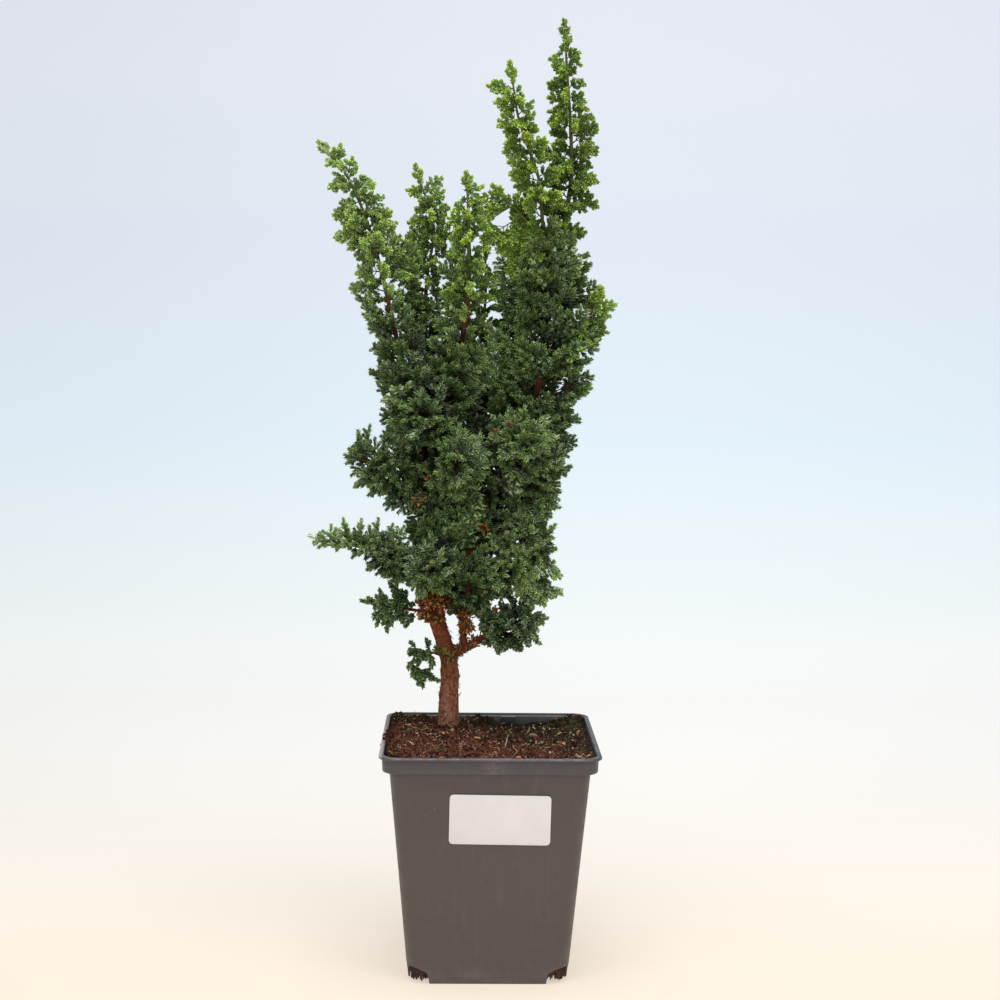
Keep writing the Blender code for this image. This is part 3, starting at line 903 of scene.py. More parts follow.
def tree_of(nodes: Iterable[str]) -> BVHTree:
    """A search tree over CAD nodes' faces, in pot millimetres.

    Args:
        nodes: The nodes' names.

    Returns:
        The tree.
    """
    verts, faces = [], []
    for name in nodes:
        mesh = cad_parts[name].data
        first = len(verts)
        verts += [TO_POT @ v.co for v in mesh.vertices]
        faces += [[first + i for i in p.vertices] for p in mesh.polygons]
    return BVHTree.FromPolygons(verts, faces)


def heading_at(route: Sequence[Vector], index: int) -> Vector:
    """A route's direction at one of its points."""
    return (route[min(index + 2, len(route) - 1)] - route[max(index - 2, 0)]).normalized()


def way_out(faces: BVHTree, start: Vector, way: Vector, furthest: float) -> float:
    """How far a ray runs before it leaves the searched faces for the last time.

    Args:
        faces: The searched faces.
        start: Where the ray starts.
        way: Its direction, of unit length.
        furthest: How far it is followed.

    Returns:
        The distance, or 0 if the ray meets nothing.
    """
    place, found = start, 0.0
    while found < furthest:
        hit = faces.ray_cast(place, way, furthest - found)[0]
        if hit is None:
            break
        found = (hit - start).length
        place = hit + way * 0.05
    return found


def shade_at(crown: BVHTree, place: Vector) -> float:
    """How dark it is at a place in the crown, from 0 near its faces to 1 well inside."""
    deep = min(way_out(crown, place, way, FURTHEST_RAY) for way in SIX_WAYS)
    return clamp((deep - LIT_DEPTH) / (DARK_DEPTH - LIT_DEPTH))


# Pot and label


def rounded_ring(bm: BMesh, half: float, z: float, corner: float, steps: int) -> list[BMVert]:
    """Add the points of a square ring with round corners, in order.

    Args:
        bm: The mesh they are added to.
        half: Half the ring's width.
        z: Its height.
        corner: The radius of its corners.
        steps: How many edges each corner has.

    Returns:
        The ring's points.
    """
    verts = []
    for quarter in range(4):
        turn = Matrix.Rotation(quarter * pi / 2, 3, "Z")
        middle = turn @ Vector((half - corner, half - corner, 0))
        for step in range(steps + 1):
            angle = (quarter + step / steps) * pi / 2
            verts.append(bm.verts.new(middle + Vector((corner * cos(angle), corner * sin(angle), z))))
    return verts


def skin(bm: BMesh, rings: Sequence[list[BMVert]]) -> None:
    """Bridge rings one to the next and close both ends.

    Args:
        bm: The mesh that holds them.
        rings: The rings, all with the same count of points.
    """
    edges = []
    for ring in rings:
        edges.append([bm.edges.new(pair) for pair in zip(ring, ring[1:] + ring[:1])])
    for lower, upper in zip(edges, edges[1:]):
        bmesh.ops.bridge_loops(bm, edges=lower + upper)
    bm.faces.new(rings[0])
    bm.faces.new(rings[-1])
    face_out(bm)


@dataclass
class Pot:
    """The square nursery pot, moulded in one."""

    height: float = 118.0
    rim_half: float = 55.0
    rim_thick: float = 1.5
    collar_half: float = 53.2
    collar_height: float = 7.2
    wall_top_half: float = 49.9
    wall_base_half: float = 40.1
    wall: float = 1.1
    corner: float = 8.5
    corner_steps: int = 14
    floor_underside: float = 8.5
    floor_thick: float = 1.5
    foot_half: float = 29.0
    tab_size: tuple[float, float, float] = (8.0, 3.0, 5.0)
    tab_centre_x: float = 11.5
    tab_drop: float = 1.2
    arch: tuple = ((0, -1), (0.9, 4.4), (1.5, 5.6), (2.6, 6.4), (4.3, 7.2), (6.0, 7.9), (7.6, 8.3))

    def __post_init__(self) -> None:
        """Work out the heights that the rest follows."""
        self.collar_z = self.height - self.rim_thick - self.collar_height
        self.floor_z = self.floor_underside + self.floor_thick

    def wall_half(self, z: float) -> float:
        """Half the pot's outer width at a height on the sloping wall."""
        return self.wall_base_half + (self.wall_top_half - self.wall_base_half) * z / self.collar_z

    def solid(self, name: str, levels: Sequence[Pair]) -> Object:
        """A closed stack of rounded square rings, given as (half width, height).

        Args:
            name: The object's name.
            levels: The rings from one end to the other.

        Returns:
            The object.
        """
        bm = bmesh.new()
        skin(bm, [rounded_ring(bm, half, z, self.corner, self.corner_steps) for half, z in levels])
        return as_object(name, bm)

    def corner_opening(self, quarter: int) -> Object:
        """The cutter that opens one corner between two feet, arched in steps (how far in, how high).

        Args:
            quarter: Which corner, from 0 to 3.

        Returns:
            The cutter.
        """
        bm = bmesh.new()
        far = self.wall_top_half
        turn = Matrix.Rotation(quarter * pi / 2, 4, "Z")
        rings = []
        for inward, z in self.arch:
            near = self.foot_half + inward
            rings.append([bm.verts.new(turn @ Vector(p)) for p in
                          ((near, near, z), (far, near, z), (far, far, z), (near, far, z))])
        skin(bm, rings)
        return as_object("corner_opening", bm)

    def build(self, finish: Material) -> None:
        """Mould the pot.

        Args:
            finish: The pot's finish.
        """
        base, top, collar, rim = self.wall_base_half, self.wall_top_half, self.collar_half, self.rim_half
        floor, under, shoulder, height = self.floor_z, self.floor_underside, self.collar_z, self.height
        lip, inside = height - self.rim_thick, collar - self.wall
        low, high = self.wall_half(floor) - self.wall, self.wall_half(shoulder) - self.wall
        pot = self.solid("pot_moulding", [
            (base - 0.25, 0), (base, 0.3), (self.wall_half(9.3), 9.3), (self.wall_half(9.6) + 0.12, 9.6),
            (self.wall_half(60), 60), (top - 0.05, shoulder - 0.3), (top + 0.2, shoulder),
            (collar - 0.7, shoulder + 0.15), (collar - 0.2, shoulder + 0.45), (collar, shoulder + 1.0),
            (collar + 0.2, lip - 0.5), (collar + 0.55, lip - 0.15), (rim - 0.35, lip),
            (rim - 0.08, lip + 0.25), (rim, lip + self.rim_thick / 2), (rim - 0.12, height - 0.3),
            (rim - 0.45, height - 0.05), (rim - 0.8, height)])
        cut(pot, self.solid("pot_inside", [
            (low - 1.2, floor), (low, floor + 1.0), (high, shoulder + 0.3), (inside, shoulder + 2.5),
            (inside + 0.25, height - 0.5), (inside + 0.6, height - 0.05), (inside + 0.7, height + 1)]))
        cut(pot, self.solid("pot_recess", [(self.wall_half(0) - self.wall, -1),
                                           (self.wall_half(under) - self.wall, under)]))
        for quarter in range(4):
            cut(pot, self.corner_opening(quarter))
        pot.data.materials.clear()
        pot.data.materials.append(finish)
        smooth(pot.data, 38)
        settle(pot, "pot_plastic", "pot")
        self.build_tab(finish)

    def build_tab(self, finish: Material) -> None:
        """The small moulded tab inside the back rim.

        Args:
            finish: The pot's finish.
        """
        bm = block(self.tab_size)
        centre = (self.tab_centre_x, self.collar_half - self.wall + 0.2,
                  self.height - self.tab_drop - self.tab_size[2] / 2)
        bmesh.ops.translate(bm, vec=centre, verts=bm.verts)
        round_off(bm, bm.edges, 0.5, 3)
        settle(as_object("pot_tab", bm, finish, 40), "pot_plastic")


@dataclass
class Label:
    """A bare card stuck on the pot's front wall."""

    width: float = 50.0
    height: float = 25.5
    thick: float = 0.4
    corner: float = 2.0
    centre_x: float = 5.0
    centre_z: float = 86.0
    turn: float = radians(0.7)
    gap: float = 0.1

    def build(self, pot: Pot, finish: Material) -> None:
        """Cut the card and lay it on the sloping wall.

        Args:
            pot: The pot that it is stuck on.
            finish: The card's finish.
        """
        bm = block((self.width, self.thick, self.height))
        uprights = [e for e in bm.edges if abs(e.verts[0].co.y - e.verts[1].co.y) > self.thick / 2]
        round_off(bm, uprights, self.corner, 8)
        outline = [e for e in bm.edges if e.calc_face_angle(0) > radians(60)]
        round_off(bm, outline, self.thick / 5, 2)
        slope = atan2(pot.wall_top_half - pot.wall_base_half, pot.collar_z)
        stand_off = (self.gap + self.thick / 2) / cos(slope)
        place = (Matrix.Translation((self.centre_x, -pot.wall_half(self.centre_z) - stand_off,
                                     self.centre_z))
                 @ Matrix.Rotation(slope, 4, "X") @ Matrix.Rotation(self.turn, 4, "Y"))
        bmesh.ops.transform(bm, matrix=place, verts=bm.verts)
        settle(as_object("label_card", bm, finish, 40), "label_card", "label")


# Wood


@dataclass(frozen=True)
class Limb:
    """A limb's route in pot millimetres and its radius at both ends."""

    name: str
    route: tuple
    thick: float
    thin: float

    def points(self, step: float) -> list[Vector]:
        """A smooth route with a point about every step."""
        return smooth_route(self.route, step)

    def radius(self, share: float) -> float:
        """The limb's radius at a share of its length."""
        flare = 1 + 0.55 * exp(-share * 28) if self.name == "trunk" else 1
        return (self.thick + (self.thin - self.thick) * share ** 0.85) * flare


LIMBS = {limb.name: limb for limb in (
    Limb("trunk", ((-21, 20, 103), (-21, 19, 117), (-21, 18, 132), (-21, 18, 153), (-25, 16, 167),
        (-29, 14, 182), (-30, 12, 197), (-27, 11, 215), (-25, 11, 239), (-27, 10, 262), (-27, 9, 280),
        (-22, 6, 298), (-16, 2, 318), (-13, -2, 351), (-13, -4, 376), (-14, -4, 398)), 5.6, 0.8),
    Limb("right_leader", ((-29, 14, 185), (-18, 16, 202), (-9, 17, 217), (-1, 17, 238), (10, 17, 265),
        (20, 16, 288), (26, 15, 306), (28, 15, 330), (33, 15, 363), (39, 15, 401), (39, 15, 425),
        (36, 14, 464), (35, 13, 476)), 3.2, 0.7),
    Limb("second_leader", ((28, 15, 333), (26, 6, 363), (24, 2, 385), (22, 0, 403), (16, -2, 419),
        (11, -3, 434), (8, -4, 451.5)), 1.4, 0.7),
    Limb("left_centre", ((-27, 10, 270), (-33, 16, 301), (-35, 19, 332), (-34, 20, 356), (-31, 20, 380),
        (-38.5, 19, 403.5)), 1.7, 0.7),
    Limb("left_leader", ((-25, 11, 234), (-34, 4, 260), (-42, 1, 291), (-49, 1, 321), (-56, 2, 351),
        (-64, 3, 379), (-74, 4, 402), (-84.5, 6, 415)), 2.2, 0.7),
    Limb("right_side", ((27, 15, 316), (39, 12, 323), (49, 12, 334), (53, 12, 342)), 1.1, 0.7),
    Limb("left_pad", ((-25, 11, 241), (-39, 6, 249), (-55, 2, 256), (-69, 0, 261)), 1.5, 0.7),
    Limb("left_low", ((-30, 13, 191), (-44, 4, 204), (-62, -2, 214), (-83, -6, 219)), 1.7, 0.7),
    Limb("left_small", ((-29, 14, 180), (-42, 20, 180), (-55, 24, 181), (-63, 26, 182)), 1.2, 0.7),
    Limb("twig", ((-22, 18, 156), (-32, 16, 158), (-39, 14, 156), (-41, 13, 149)), 1.0, 0.6),
    Limb("right_low", ((-20, 18, 156), (-10, 14, 162), (-3, 11, 167), (8, 8, 172), (17, 6, 176)), 2.3, 0.8),
    Limb("stub", ((-13, 15, 160), (-14, 15, 170), (-14, 12, 183), (-11, 6, 195)), 2.0, 0.8),
    Limb("front_low", ((-29, 12, 199), (-31, -2, 204), (-33, -14, 205)), 1.4, 0.7),
    Limb("front_mid", ((-27, 10, 250), (-22, -6, 257), (-15, -19, 263)), 1.4, 0.7),
    Limb("front_left", ((-27, 9, 275), (-34, -8, 281), (-40, -16, 284)), 1.3, 0.7),
    Limb("front_right", ((9, 17, 262), (13, 2, 267), (18, -10, 271)), 1.3, 0.7),
    Limb("right_mid", ((3, 17, 246), (17, 14, 254), (30, 10, 260)), 1.3, 0.7),
    Limb("right_lowmid", ((-6, 17, 225), (10, 12, 221), (26, 7, 216)), 1.3, 0.7),
    Limb("right_under", ((-12, 17, 211), (4, 11, 203), (20, 8, 196)), 1.2, 0.7),
    Limb("right_high", ((20, 16, 287), (33, 13, 294), (42, 11, 299)), 1.1, 0.7),
    Limb("second_side", ((25, 4, 372), (14, -1, 384), (4, -2, 394)), 1.0, 0.7),
    Limb("back_leader", ((-26, 11, 249), (-19, 28, 274), (-9, 38, 306), (-4, 38, 338), (-4, 34, 366)), 1.7,
        0.7),
    Limb("back_low", ((-29, 13, 191), (-21, 30, 192), (-11, 43, 193)), 1.4, 0.7),
    Limb("back_left", ((-27, 10, 265), (-38, 28, 273), (-45, 37, 282)), 1.4, 0.7),
    Limb("back_right", ((15, 16, 276), (20, 32, 285), (25, 41, 292)), 1.3, 0.7),
    Limb("back_mid", ((-6, 17, 228), (0, 32, 224), (6, 43, 220)), 1.3, 0.7),
)}


@dataclass
class Wood:
    """The trunk and limbs grown together, with peeling flakes of bark."""

    step: float = 2.4
    sides: int = 12
    voxel: float = 0.62
    ridge: float = 0.6
    kept_share: float = 0.36
    flake_count: int = 760
    thinnest: float = 0.75
    shade_from: float = 185.0
    open_from: float = 375.0
    flake_foot: float = 117.0
    flake_top: float = 240.0
    seed: int = 11

    def build(self, finish: Material, crown: BVHTree) -> None:
        """Grow the limbs into one skin, roughen it, shade it and add the flakes.

        Args:
            finish: The bark.
            crown: The faces of the crown's masses.
        """
        bm = bmesh.new()
        for limb in LIMBS.values():
            route = limb.points(self.step)
            last = len(route) - 1
            radii = [max(limb.radius(i / last), self.thinnest) for i in range(last + 1)]
            add_tube(bm, route, radii, self.sides)
        face_out(bm)
        wood = as_object("wood", bm, finish)
        reshape(wood, "REMESH", mode="VOXEL", voxel_size=self.voxel * MM, adaptivity=0.0)
        self.roughen(wood)
        reshape(wood, "DECIMATE", ratio=self.kept_share)
        self.shade_inside(wood, crown)
        settle(wood, "bark", "trunk_and_limbs")
        self.build_flakes(finish)

    def shade_inside(self, wood: Object, crown: BVHTree) -> None:
        """Note on each point how deep it lies in the crown.

        Args:
            wood: The wood.
            crown: The faces of the crown's masses.
        """
        places = [TO_POT @ v.co for v in wood.data.vertices]
        shades = []
        for place in places:
            less_above = max(0.3, min(1.0, (self.open_from - place.z) / 40))
            shades.append(shade_at(crown, place) * less_above if place.z > self.shade_from else 0.0)
        wood.data.attributes.new("shade", "FLOAT", "POINT").data.foreach_set("value", shades)

    def roughen(self, wood: Object) -> None:
        """Soften the voxels and raise ridges that run along the trunk.

        Args:
            wood: The wood, whose mesh is changed.
        """
        bm = bmesh.new()
        bm.from_mesh(wood.data)
        for _ in range(2):
            bmesh.ops.smooth_vert(bm, verts=bm.verts, factor=0.5, use_axis_x=True, use_axis_y=True,
                                  use_axis_z=True)
        bm.normal_update()
        for vert in bm.verts:
            place = TO_POT @ vert.co
            stout = min(1.0, max(0.15, (300 - place.z) / 120))
            ridges = noise.noise(Vector((place.x / 1.5, place.y / 1.5, place.z / 7)))
            lumps = noise.noise(place / 4.5)
            vert.co += vert.normal * ((ridges * self.ridge + lumps * 0.35) * stout * MM)
        bm.to_mesh(wood.data)
        bm.free()
        wood.data.shade_smooth()

    def build_flakes(self, finish: Material) -> None:
        """Scatter thin curled flakes of bark over the lower wood.

        Args:
            finish: The bark.
        """
        rng = Random(self.seed)
        bm = bmesh.new()
        stems = [LIMBS[name] for name in ("trunk", "trunk", "trunk", "right_leader", "right_low", "stub")]
        made = 0
        while made < self.flake_count:
            limb = rng.choice(stems)
            route = limb.points(1.0)
            index = rng.randrange(1, len(route) - 1)
            point = route[index]
            if not self.flake_foot < point.z < self.flake_top:
                continue
            tangent = (route[index + 1] - route[index - 1]).normalized()
            radial = (facing(tangent) @ spin(rng, 3) @ RIGHT).normalized()
            spot = point + radial * (limb.radius(index / len(route)) - 0.15)
            way = (tangent * rng.choice((-1, 1)) + radial * rng.uniform(0.25, 0.9)).normalized()
            self.add_flake(bm, aim(spot, way, radial), rng)
            made += 1
        face_out(bm)
        settle(as_object("bark_flakes", bm, finish), "bark")

    @staticmethod
    def add_flake(bm: BMesh, place: Matrix, rng: Random) -> None:
        """One thin wedge of bark with a ragged end.

        Args:
            bm: The mesh it is added to.
            place: Where it grows and how it is turned.
            rng: The source of its irregularity.
        """
        length = rng.uniform(0.8, 2.5)
        size = Matrix.Diagonal((rng.uniform(0.4, 1.3), rng.uniform(0.14, 0.28), 1, 1))
        made = add_cone(bm, 4, 1.0, rng.uniform(0.15, 0.6), length, place @ size)
        curl = place.to_3x3() @ Vector((0, rng.uniform(-0.35, 0.35), 0))
        tips = [v for v in made if (place.inverted() @ v.co).z > length / 2]
        bmesh.ops.translate(bm, vec=curl, verts=tips)


# Foliage


class Habit(Enum):
    """How a mass of foliage grows on its limb."""

    SPIRE = "open, upright, with sprays all round a stem that shows"
    BODY = "dense and upright"
    PAD = "dense, reaching outwards"
    HANGING = "dense, with tips that droop"


SPIRE, BODY, PAD, HANGING = Habit


@dataclass(frozen=True)
class Growth:
    """The size and stance of the shoots on a mass's sprays."""

    shortest: float
    longest: float
    girth: float
    droop: float
    gap: float
    # How much of the crown's painted shade its shoots take
    painted_shade: float = 1.0
    plump: bool = True


GROWTHS = {
    SPIRE: Growth(3.5, 5.4, 1.13, 0.14, 2.8, 0.4),
    BODY: Growth(4.8, 8.4, 1.06, 0.0, 3.1, plump=False),
    PAD: Growth(4.8, 8.8, 1.06, 0.06, 3.1, plump=False),
    HANGING: Growth(5.2, 8.4, 1.25, 0.3, 3.7),
}
BUD = Growth(4.2, 5.6, 1.5, 0.1, 2.8, 0.2)


@dataclass(frozen=True)
class Mass:
    """One CAD mass of foliage and the character of the growth that stands for it.

    Youth runs from 0, old and dark, to 1, bright and new, at the stretch's two ends. Extra lists
    further places where a spray ends; a fourth number there says how rusty the spray is.
    """

    node: str
    limb: str
    start: float
    end: float
    habit: Habit
    youth: Pair
    bloom: float = 0.5
    spacing: float = 9.6
    extra: tuple = ()
    inset: float = 0.8


MASSES = (
    Mass("spire_tall", "right_leader", 0.66, 1.0, SPIRE, (0.3, 0.75), 0.1,
        extra=((49, 13, 405), (45, 12, 377), (29, 13, 445), (30, 13, 438), (48, 13, 396))),
    Mass("spire_second", "second_leader", 0.42, 1.0, SPIRE, (0.55, 1.1), 0.1,
        extra=((-2, 2, 449, 1.0), (2, -3, 440), (17, -3, 433), (18, -3, 427), (6, -2, 416), (10, 0, 406),
        (12, 0, 399), (4, 4, 374), (9, 4, 366), (10, 2, 376), (-1, 3, 372), (3, 3, 367), (6, 3, 372),
        (9, 3, 361), (8, 4, 356))),
    Mass("spire_left", "left_leader", 0.56, 1.0, SPIRE, (0.5, 0.95), 0.5,
        extra=((-82, 5, 411), (-80, 5, 384), (-79, 5, 373), (-76, 4, 400), (-75, 4, 384), (-72, 4, 379),
        (-66, 3, 384), (-60, 3, 379), (-67, 3, 394), (-52, 3, 379), (-49, 3, 371), (-79, 5, 416),
        (-73, 4, 410), (-58, 3, 392), (-54, 3, 385), (-72, 4, 367), (-66, 4, 364))),
    Mass("spire_left_centre", "left_centre", 0.55, 1.0, SPIRE, (0.45, 0.85), 0.3,
        extra=((-42, 19, 398), (-28, 19, 396), (-29, 19, 403), (-25, 14, 388), (-24, 13, 380),
        (-42, 16, 381), (-43, 15, 374))),
    Mass("spire_centre", "trunk", 0.78, 1.0, SPIRE, (0.4, 1.0), 0.2,
        extra=((-21, 0, 382), (-20, 2, 373), (-9, -3, 397), (-8, -3, 391), (-6, -2, 385))),
    Mass("spire_right_side", "right_side", 0.45, 1.0, SPIRE, (0.4, 0.8), 0.1,
        extra=((61, 12, 340), (58, 12, 335), (57, 12, 327), (54, 12, 347))),
    Mass("spire_small", "second_side", 0.5, 1.0, SPIRE, (0.5, 0.8), 0.1,
        extra=((-5, 0, 393), (5, 0, 391), (-6, 0, 379), (-5, 2, 372))),
    Mass("spire_back", "back_leader", 0.52, 1.0, SPIRE, (0.3, 0.75), 0.1),
    Mass("pad_left_upper", "left_pad", 0.3, 1.0, PAD, (0.08, 0.28), 0.5, 6.8,
        ((-63, 2, 273), (-68, 2, 271), (-68, 2, 246), (-61, 2, 243), (-52, 3, 237), (-46, 4, 235))),
    Mass("pad_left_low", "left_low", 0.25, 1.0, PAD, (0.45, 0.75), 1.3, 6.0,
        ((-46, 0, 223), (-51, 0, 224), (-82, -4, 223), (-75, -4, 225), (-67, -4, 226), (-58, -3, 226),
        (-62, -3, 222), (-89, -4, 219), (-85, -4, 217), (-53, 3, 203), (-46, 5, 199), (-74, -11, 217),
        (-65, -10, 215)), 3.8),
    Mass("pad_left_small", "left_small", 0.35, 1.0, HANGING, (0.05, 0.15), 0.4, 7.4,
        ((-63, 20, 186), (-58, 20, 177), (-54, 20, 174), (-47, 18, 179), (-42, 16, 177), (-50, 18, 192),
        (-45, 16, 188), (-57, 16, 185), (-49, 14, 184)), 2.0),
    Mass("spray_bottom", "twig", 0.3, 1.0, HANGING, (0.05, 0.1), 0.35, 7.4,
        ((-39, 13, 162), (-40, 13, 150), (-36, 13, 145), (-30, 12, 146), (-32, 13, 163), (-37, 8, 158),
        (-41, 9, 154), (-33, 8, 159)), 2.6),
    Mass("pad_right_low", "right_low", 0.5, 1.0, HANGING, (0.05, 0.2), 0.8, 9.4,
        ((0, 8, 168), (15, 8, 166), (24, 8, 167), (26, 8, 179), (10, -1, 176), (17, -1, 178), (5, 2, 173)),
        4.8),
    Mass("pad_front_low", "stub", 0.5, 1.0, PAD, (0.1, 0.25), 0.4, 8.4,
        ((-5, 3, 205), (-13, 4, 202), (-9, 0, 210), (-3, 4, 214), (-17, 3, 209), (-18, 5, 188),
        (-18, 8, 182))),
    Mass("pad_front_left_low", "front_low", 0.35, 1.0, PAD, (0.15, 0.35), 0.7, 8.4,
        ((-31, 0, 199), (-25, 2, 204), (-38, 0, 203), (-40, 4, 194))),
    Mass("pad_front_mid", "front_mid", 0.4, 1.0, PAD, (0.2, 0.45), 0.5, 9.0, ((-4, 2, 267), (-1, 2, 262))),
    Mass("pad_front_left", "front_left", 0.4, 1.0, BODY, (0.1, 0.3), 0.5, 9.0),
    Mass("pad_front_right", "front_right", 0.4, 1.0, PAD, (0.25, 0.5), 0.6, 9.0),
    Mass("pad_right_mid", "right_mid", 0.35, 1.0, PAD, (0.3, 0.5), 0.7, 9.4,
        ((33, 10, 241), (30, 10, 236), (29, 8, 230), (27, 8, 225), (33, 8, 235))),
    Mass("pad_right_low_mid", "right_lowmid", 0.35, 1.0, PAD, (0.6, 0.9), 1.2, 8.6,
        ((27, 8, 204), (34, 4, 200), (24, 8, 209), (31, 6, 213), (14, 2, 209), (12, 0, 214), (14, 2, 192),
        (20, 4, 199), (24, 2, 215)), 2.4),
    Mass("pad_right_under", "right_under", 0.35, 1.0, HANGING, (0.2, 0.45), 0.8, 9.2,
        ((34, 4, 193), (26, 2, 189), (6, 6, 193))),
    Mass("pad_right_high", "right_high", 0.4, 1.0, PAD, (0.2, 0.4)),
    Mass("pad_back_low", "back_low", 0.35, 1.0, PAD, (0.1, 0.25), 0.5, 10.8),
    Mass("pad_back_left", "back_left", 0.4, 1.0, PAD, (0.1, 0.3), 0.5, 10.8),
    Mass("pad_back_right", "back_right", 0.4, 1.0, PAD, (0.1, 0.3), 0.5, 10.8),
    Mass("pad_back_mid", "back_mid", 0.35, 1.0, PAD, (0.1, 0.25), 0.5, 10.8),
    Mass("body_right_upper", "right_leader", 0.43, 0.66, BODY, (0.15, 0.4), 0.4, 10.8,
        ((56, 12, 330), (54, 12, 322), (49, 12, 311), (50, 12, 303), (49, 12, 297), (43, 12, 281),
        (6, 8, 318), (8, 8, 310), (4, 8, 305), (-3, 7, 328), (2, 7, 324), (-2, 7, 316), (4, 7, 311),
        (1, 7, 304), (8, 7, 304), (8, 7, 319))),
    Mass("body_right_lower", "right_leader", 0.12, 0.43, BODY, (0.08, 0.25), 0.5, 11.0,
        ((42, 12, 268), (40, 12, 255), (1, 6, 299))),
    Mass("body_second", "second_leader", 0.08, 0.42, BODY, (0.2, 0.45), 0.3, 9.6,
        ((13, 4, 361), (10, 4, 350), (7, 6, 330), (5, 6, 340), (9, 3, 344), (3, 5, 361), (4, 5, 350),
        (3, 6, 338))),
    Mass("body_left", "left_leader", 0.15, 0.56, BODY, (0.1, 0.45), 0.7, 9.6,
        ((-68, 4, 341), (-64, 3, 332), (-61, 3, 327)), 3.0),
    Mass("body_left_centre", "left_centre", 0.06, 0.55, BODY, (0.1, 0.45), 0.4, 9.2,
        ((-45, 10, 357), (-43, 12, 348), (-44, 14, 363), (-42, 15, 369), (-48, 12, 342), (-48, 11, 336),
        (-50, 9, 371), (-49, 9, 364))),
    Mass("body_back", "back_leader", 0.12, 0.52, BODY, (0.1, 0.3), 0.4, 11.0),
    Mass("body_centre_upper", "trunk", 0.6, 0.78, BODY, (0.15, 0.45), 0.35, 9.0,
        ((-23, 4, 346), (-21, 2, 338), (-19, 5, 374), (-20, 6, 364), (-20, 7, 354))),
    Mass("body_centre_lower", "trunk", 0.37, 0.6, BODY, (0.08, 0.25), 0.35, 9.2),
)


@dataclass
class Shoots:
    """Short plump shoots set with awl leaves, each made once and planted many times."""

    length: float = 5.5
    leaf_length: float = 1.7
    leaf_half: float = 0.84
    stem_radius: float = 0.74
    kinds: int = 6
    seed: int = 3
    full: list = field(default_factory=list)
    fine: list = field(default_factory=list)
    sparse: list = field(default_factory=list)
    stem: Mesh | None = None

    def build(self) -> None:
        """Make the kinds of shoot, leafy ones for the outside and simpler ones for the inside."""
        rng = Random(self.seed)
        self.full = [self.shoot(11, rng) for _ in range(self.kinds)]
        self.fine = [self.shoot(11, rng, broader=0.68, longer=1.35, lean=42) for _ in range(self.kinds)]
        self.sparse = [self.shoot(7, rng, broader=1.45) for _ in range(3)]
        bm = bmesh.new()
        bm.verts.layers.float.new("shade")
        add_cone(bm, 3, 1.0, 0.75, 1.0)
        self.stem = as_mesh("stem", bm)

    def shoot(self, leaves: int, rng: Random, broader: float = 1.0, longer: float = 1.0,
              lean: float = 50) -> Mesh:
        """One shoot along Z with its leaves in a spiral.

        Args:
            leaves: How many leaves it has.
            rng: The source of its irregularity.
            broader: How much wider than usual its leaves are.
            longer: How much longer they are.
            lean: How far the lowest ones stand off, in degrees.

        Returns:
            A mesh with the point attributes reach, line, age, bloom, rust and shade.
        """
        bm = bmesh.new()
        reach, line = (bm.verts.layers.float.new(name) for name in ("reach", "line"))
        for name in ("age", "bloom", "rust", "shade"):
            bm.verts.layers.float.new(name)
        # The stem carries no reach, so it takes the leaves' darkest colour: painted shade between the leaves
        add_cone(bm, 3, self.stem_radius * 0.6, self.stem_radius, self.length * 0.84)
        for i in range(leaves):
            share = (i + 0.5) / leaves
            last = i >= leaves - 2
            base = 0.3 + (self.length - self.leaf_length * longer * 0.8) * share
            tilt = radians(lean * 0.4 if last else lean - 20 * share + rng.uniform(-7, 7))
            size = longer * (1.05 - 0.3 * share ** 2) * rng.uniform(0.88, 1.1)
            turn = i * GOLDEN_TURN + rng.uniform(-0.2, 0.2)
            place = (Matrix.Rotation(turn, 4, "Z")
                     @ Matrix.Translation((self.stem_radius * 0.45, 0, base))
                     @ Matrix.Rotation(tilt, 4, "Y")
                     @ Matrix.Diagonal((0.6 * broader, 1.0 * broader, size, 1)))
            # Reach rises towards each leaf's end and the shoot's end: partly newer growth, partly painted
            # highlight on the leaf ends
            for vert, end in self.add_leaf(bm, place):
                vert[reach] = 0.05 + 0.35 * share + end * (0.35 + 0.25 * share)
                vert[line] = 1.0 if cos(turn) > 0.7 else 0.14
        bend = rng.uniform(-0.02, 0.045)
        for vert in bm.verts:
            vert.co.x += bend * vert.co.z ** 2 * 0.5
        return as_mesh("shoot", bm)

    def add_leaf(self, bm: BMesh, place: Matrix) -> list[tuple[BMVert, bool]]:
        """One awl leaf, a three-sided spike that stands along Z of its place.

        Args:
            bm: The mesh it is added to.
            place: Where it grows and how it is turned and sized.

        Returns:
            Its points, each with whether it is the leaf's end.
        """
        made = add_cone(bm, 3, self.leaf_half, 0.0, self.leaf_length, place)
        back = place.inverted()
        return [(vert, (back @ vert.co).z > self.leaf_length * 0.9) for vert in made]


@dataclass
class Spray:
    """A twig that leaves its limb, bends and ends in a flat fan of shoots."""

    root: Vector
    bend: Vector
    tip: Vector
    across: Vector
    fan: float
    youth: float
    bloom: float
    growth: Growth
    rust: float = 0.0
    inner: bool = False
    shades: Pair = (0.0, 0.0)

    @property
    def length(self) -> float:
        """The straight length from root to tip."""
        return (self.tip - self.root).length

    def at(self, share: float) -> Vector:
        """The point at a share of the twig."""
        return self.root.lerp(self.bend, share).lerp(self.bend.lerp(self.tip, share), share)

    def heading(self, share: float) -> Vector:
        """The twig's direction there."""
        return (self.bend.lerp(self.tip, share) - self.root.lerp(self.bend, share)).normalized()


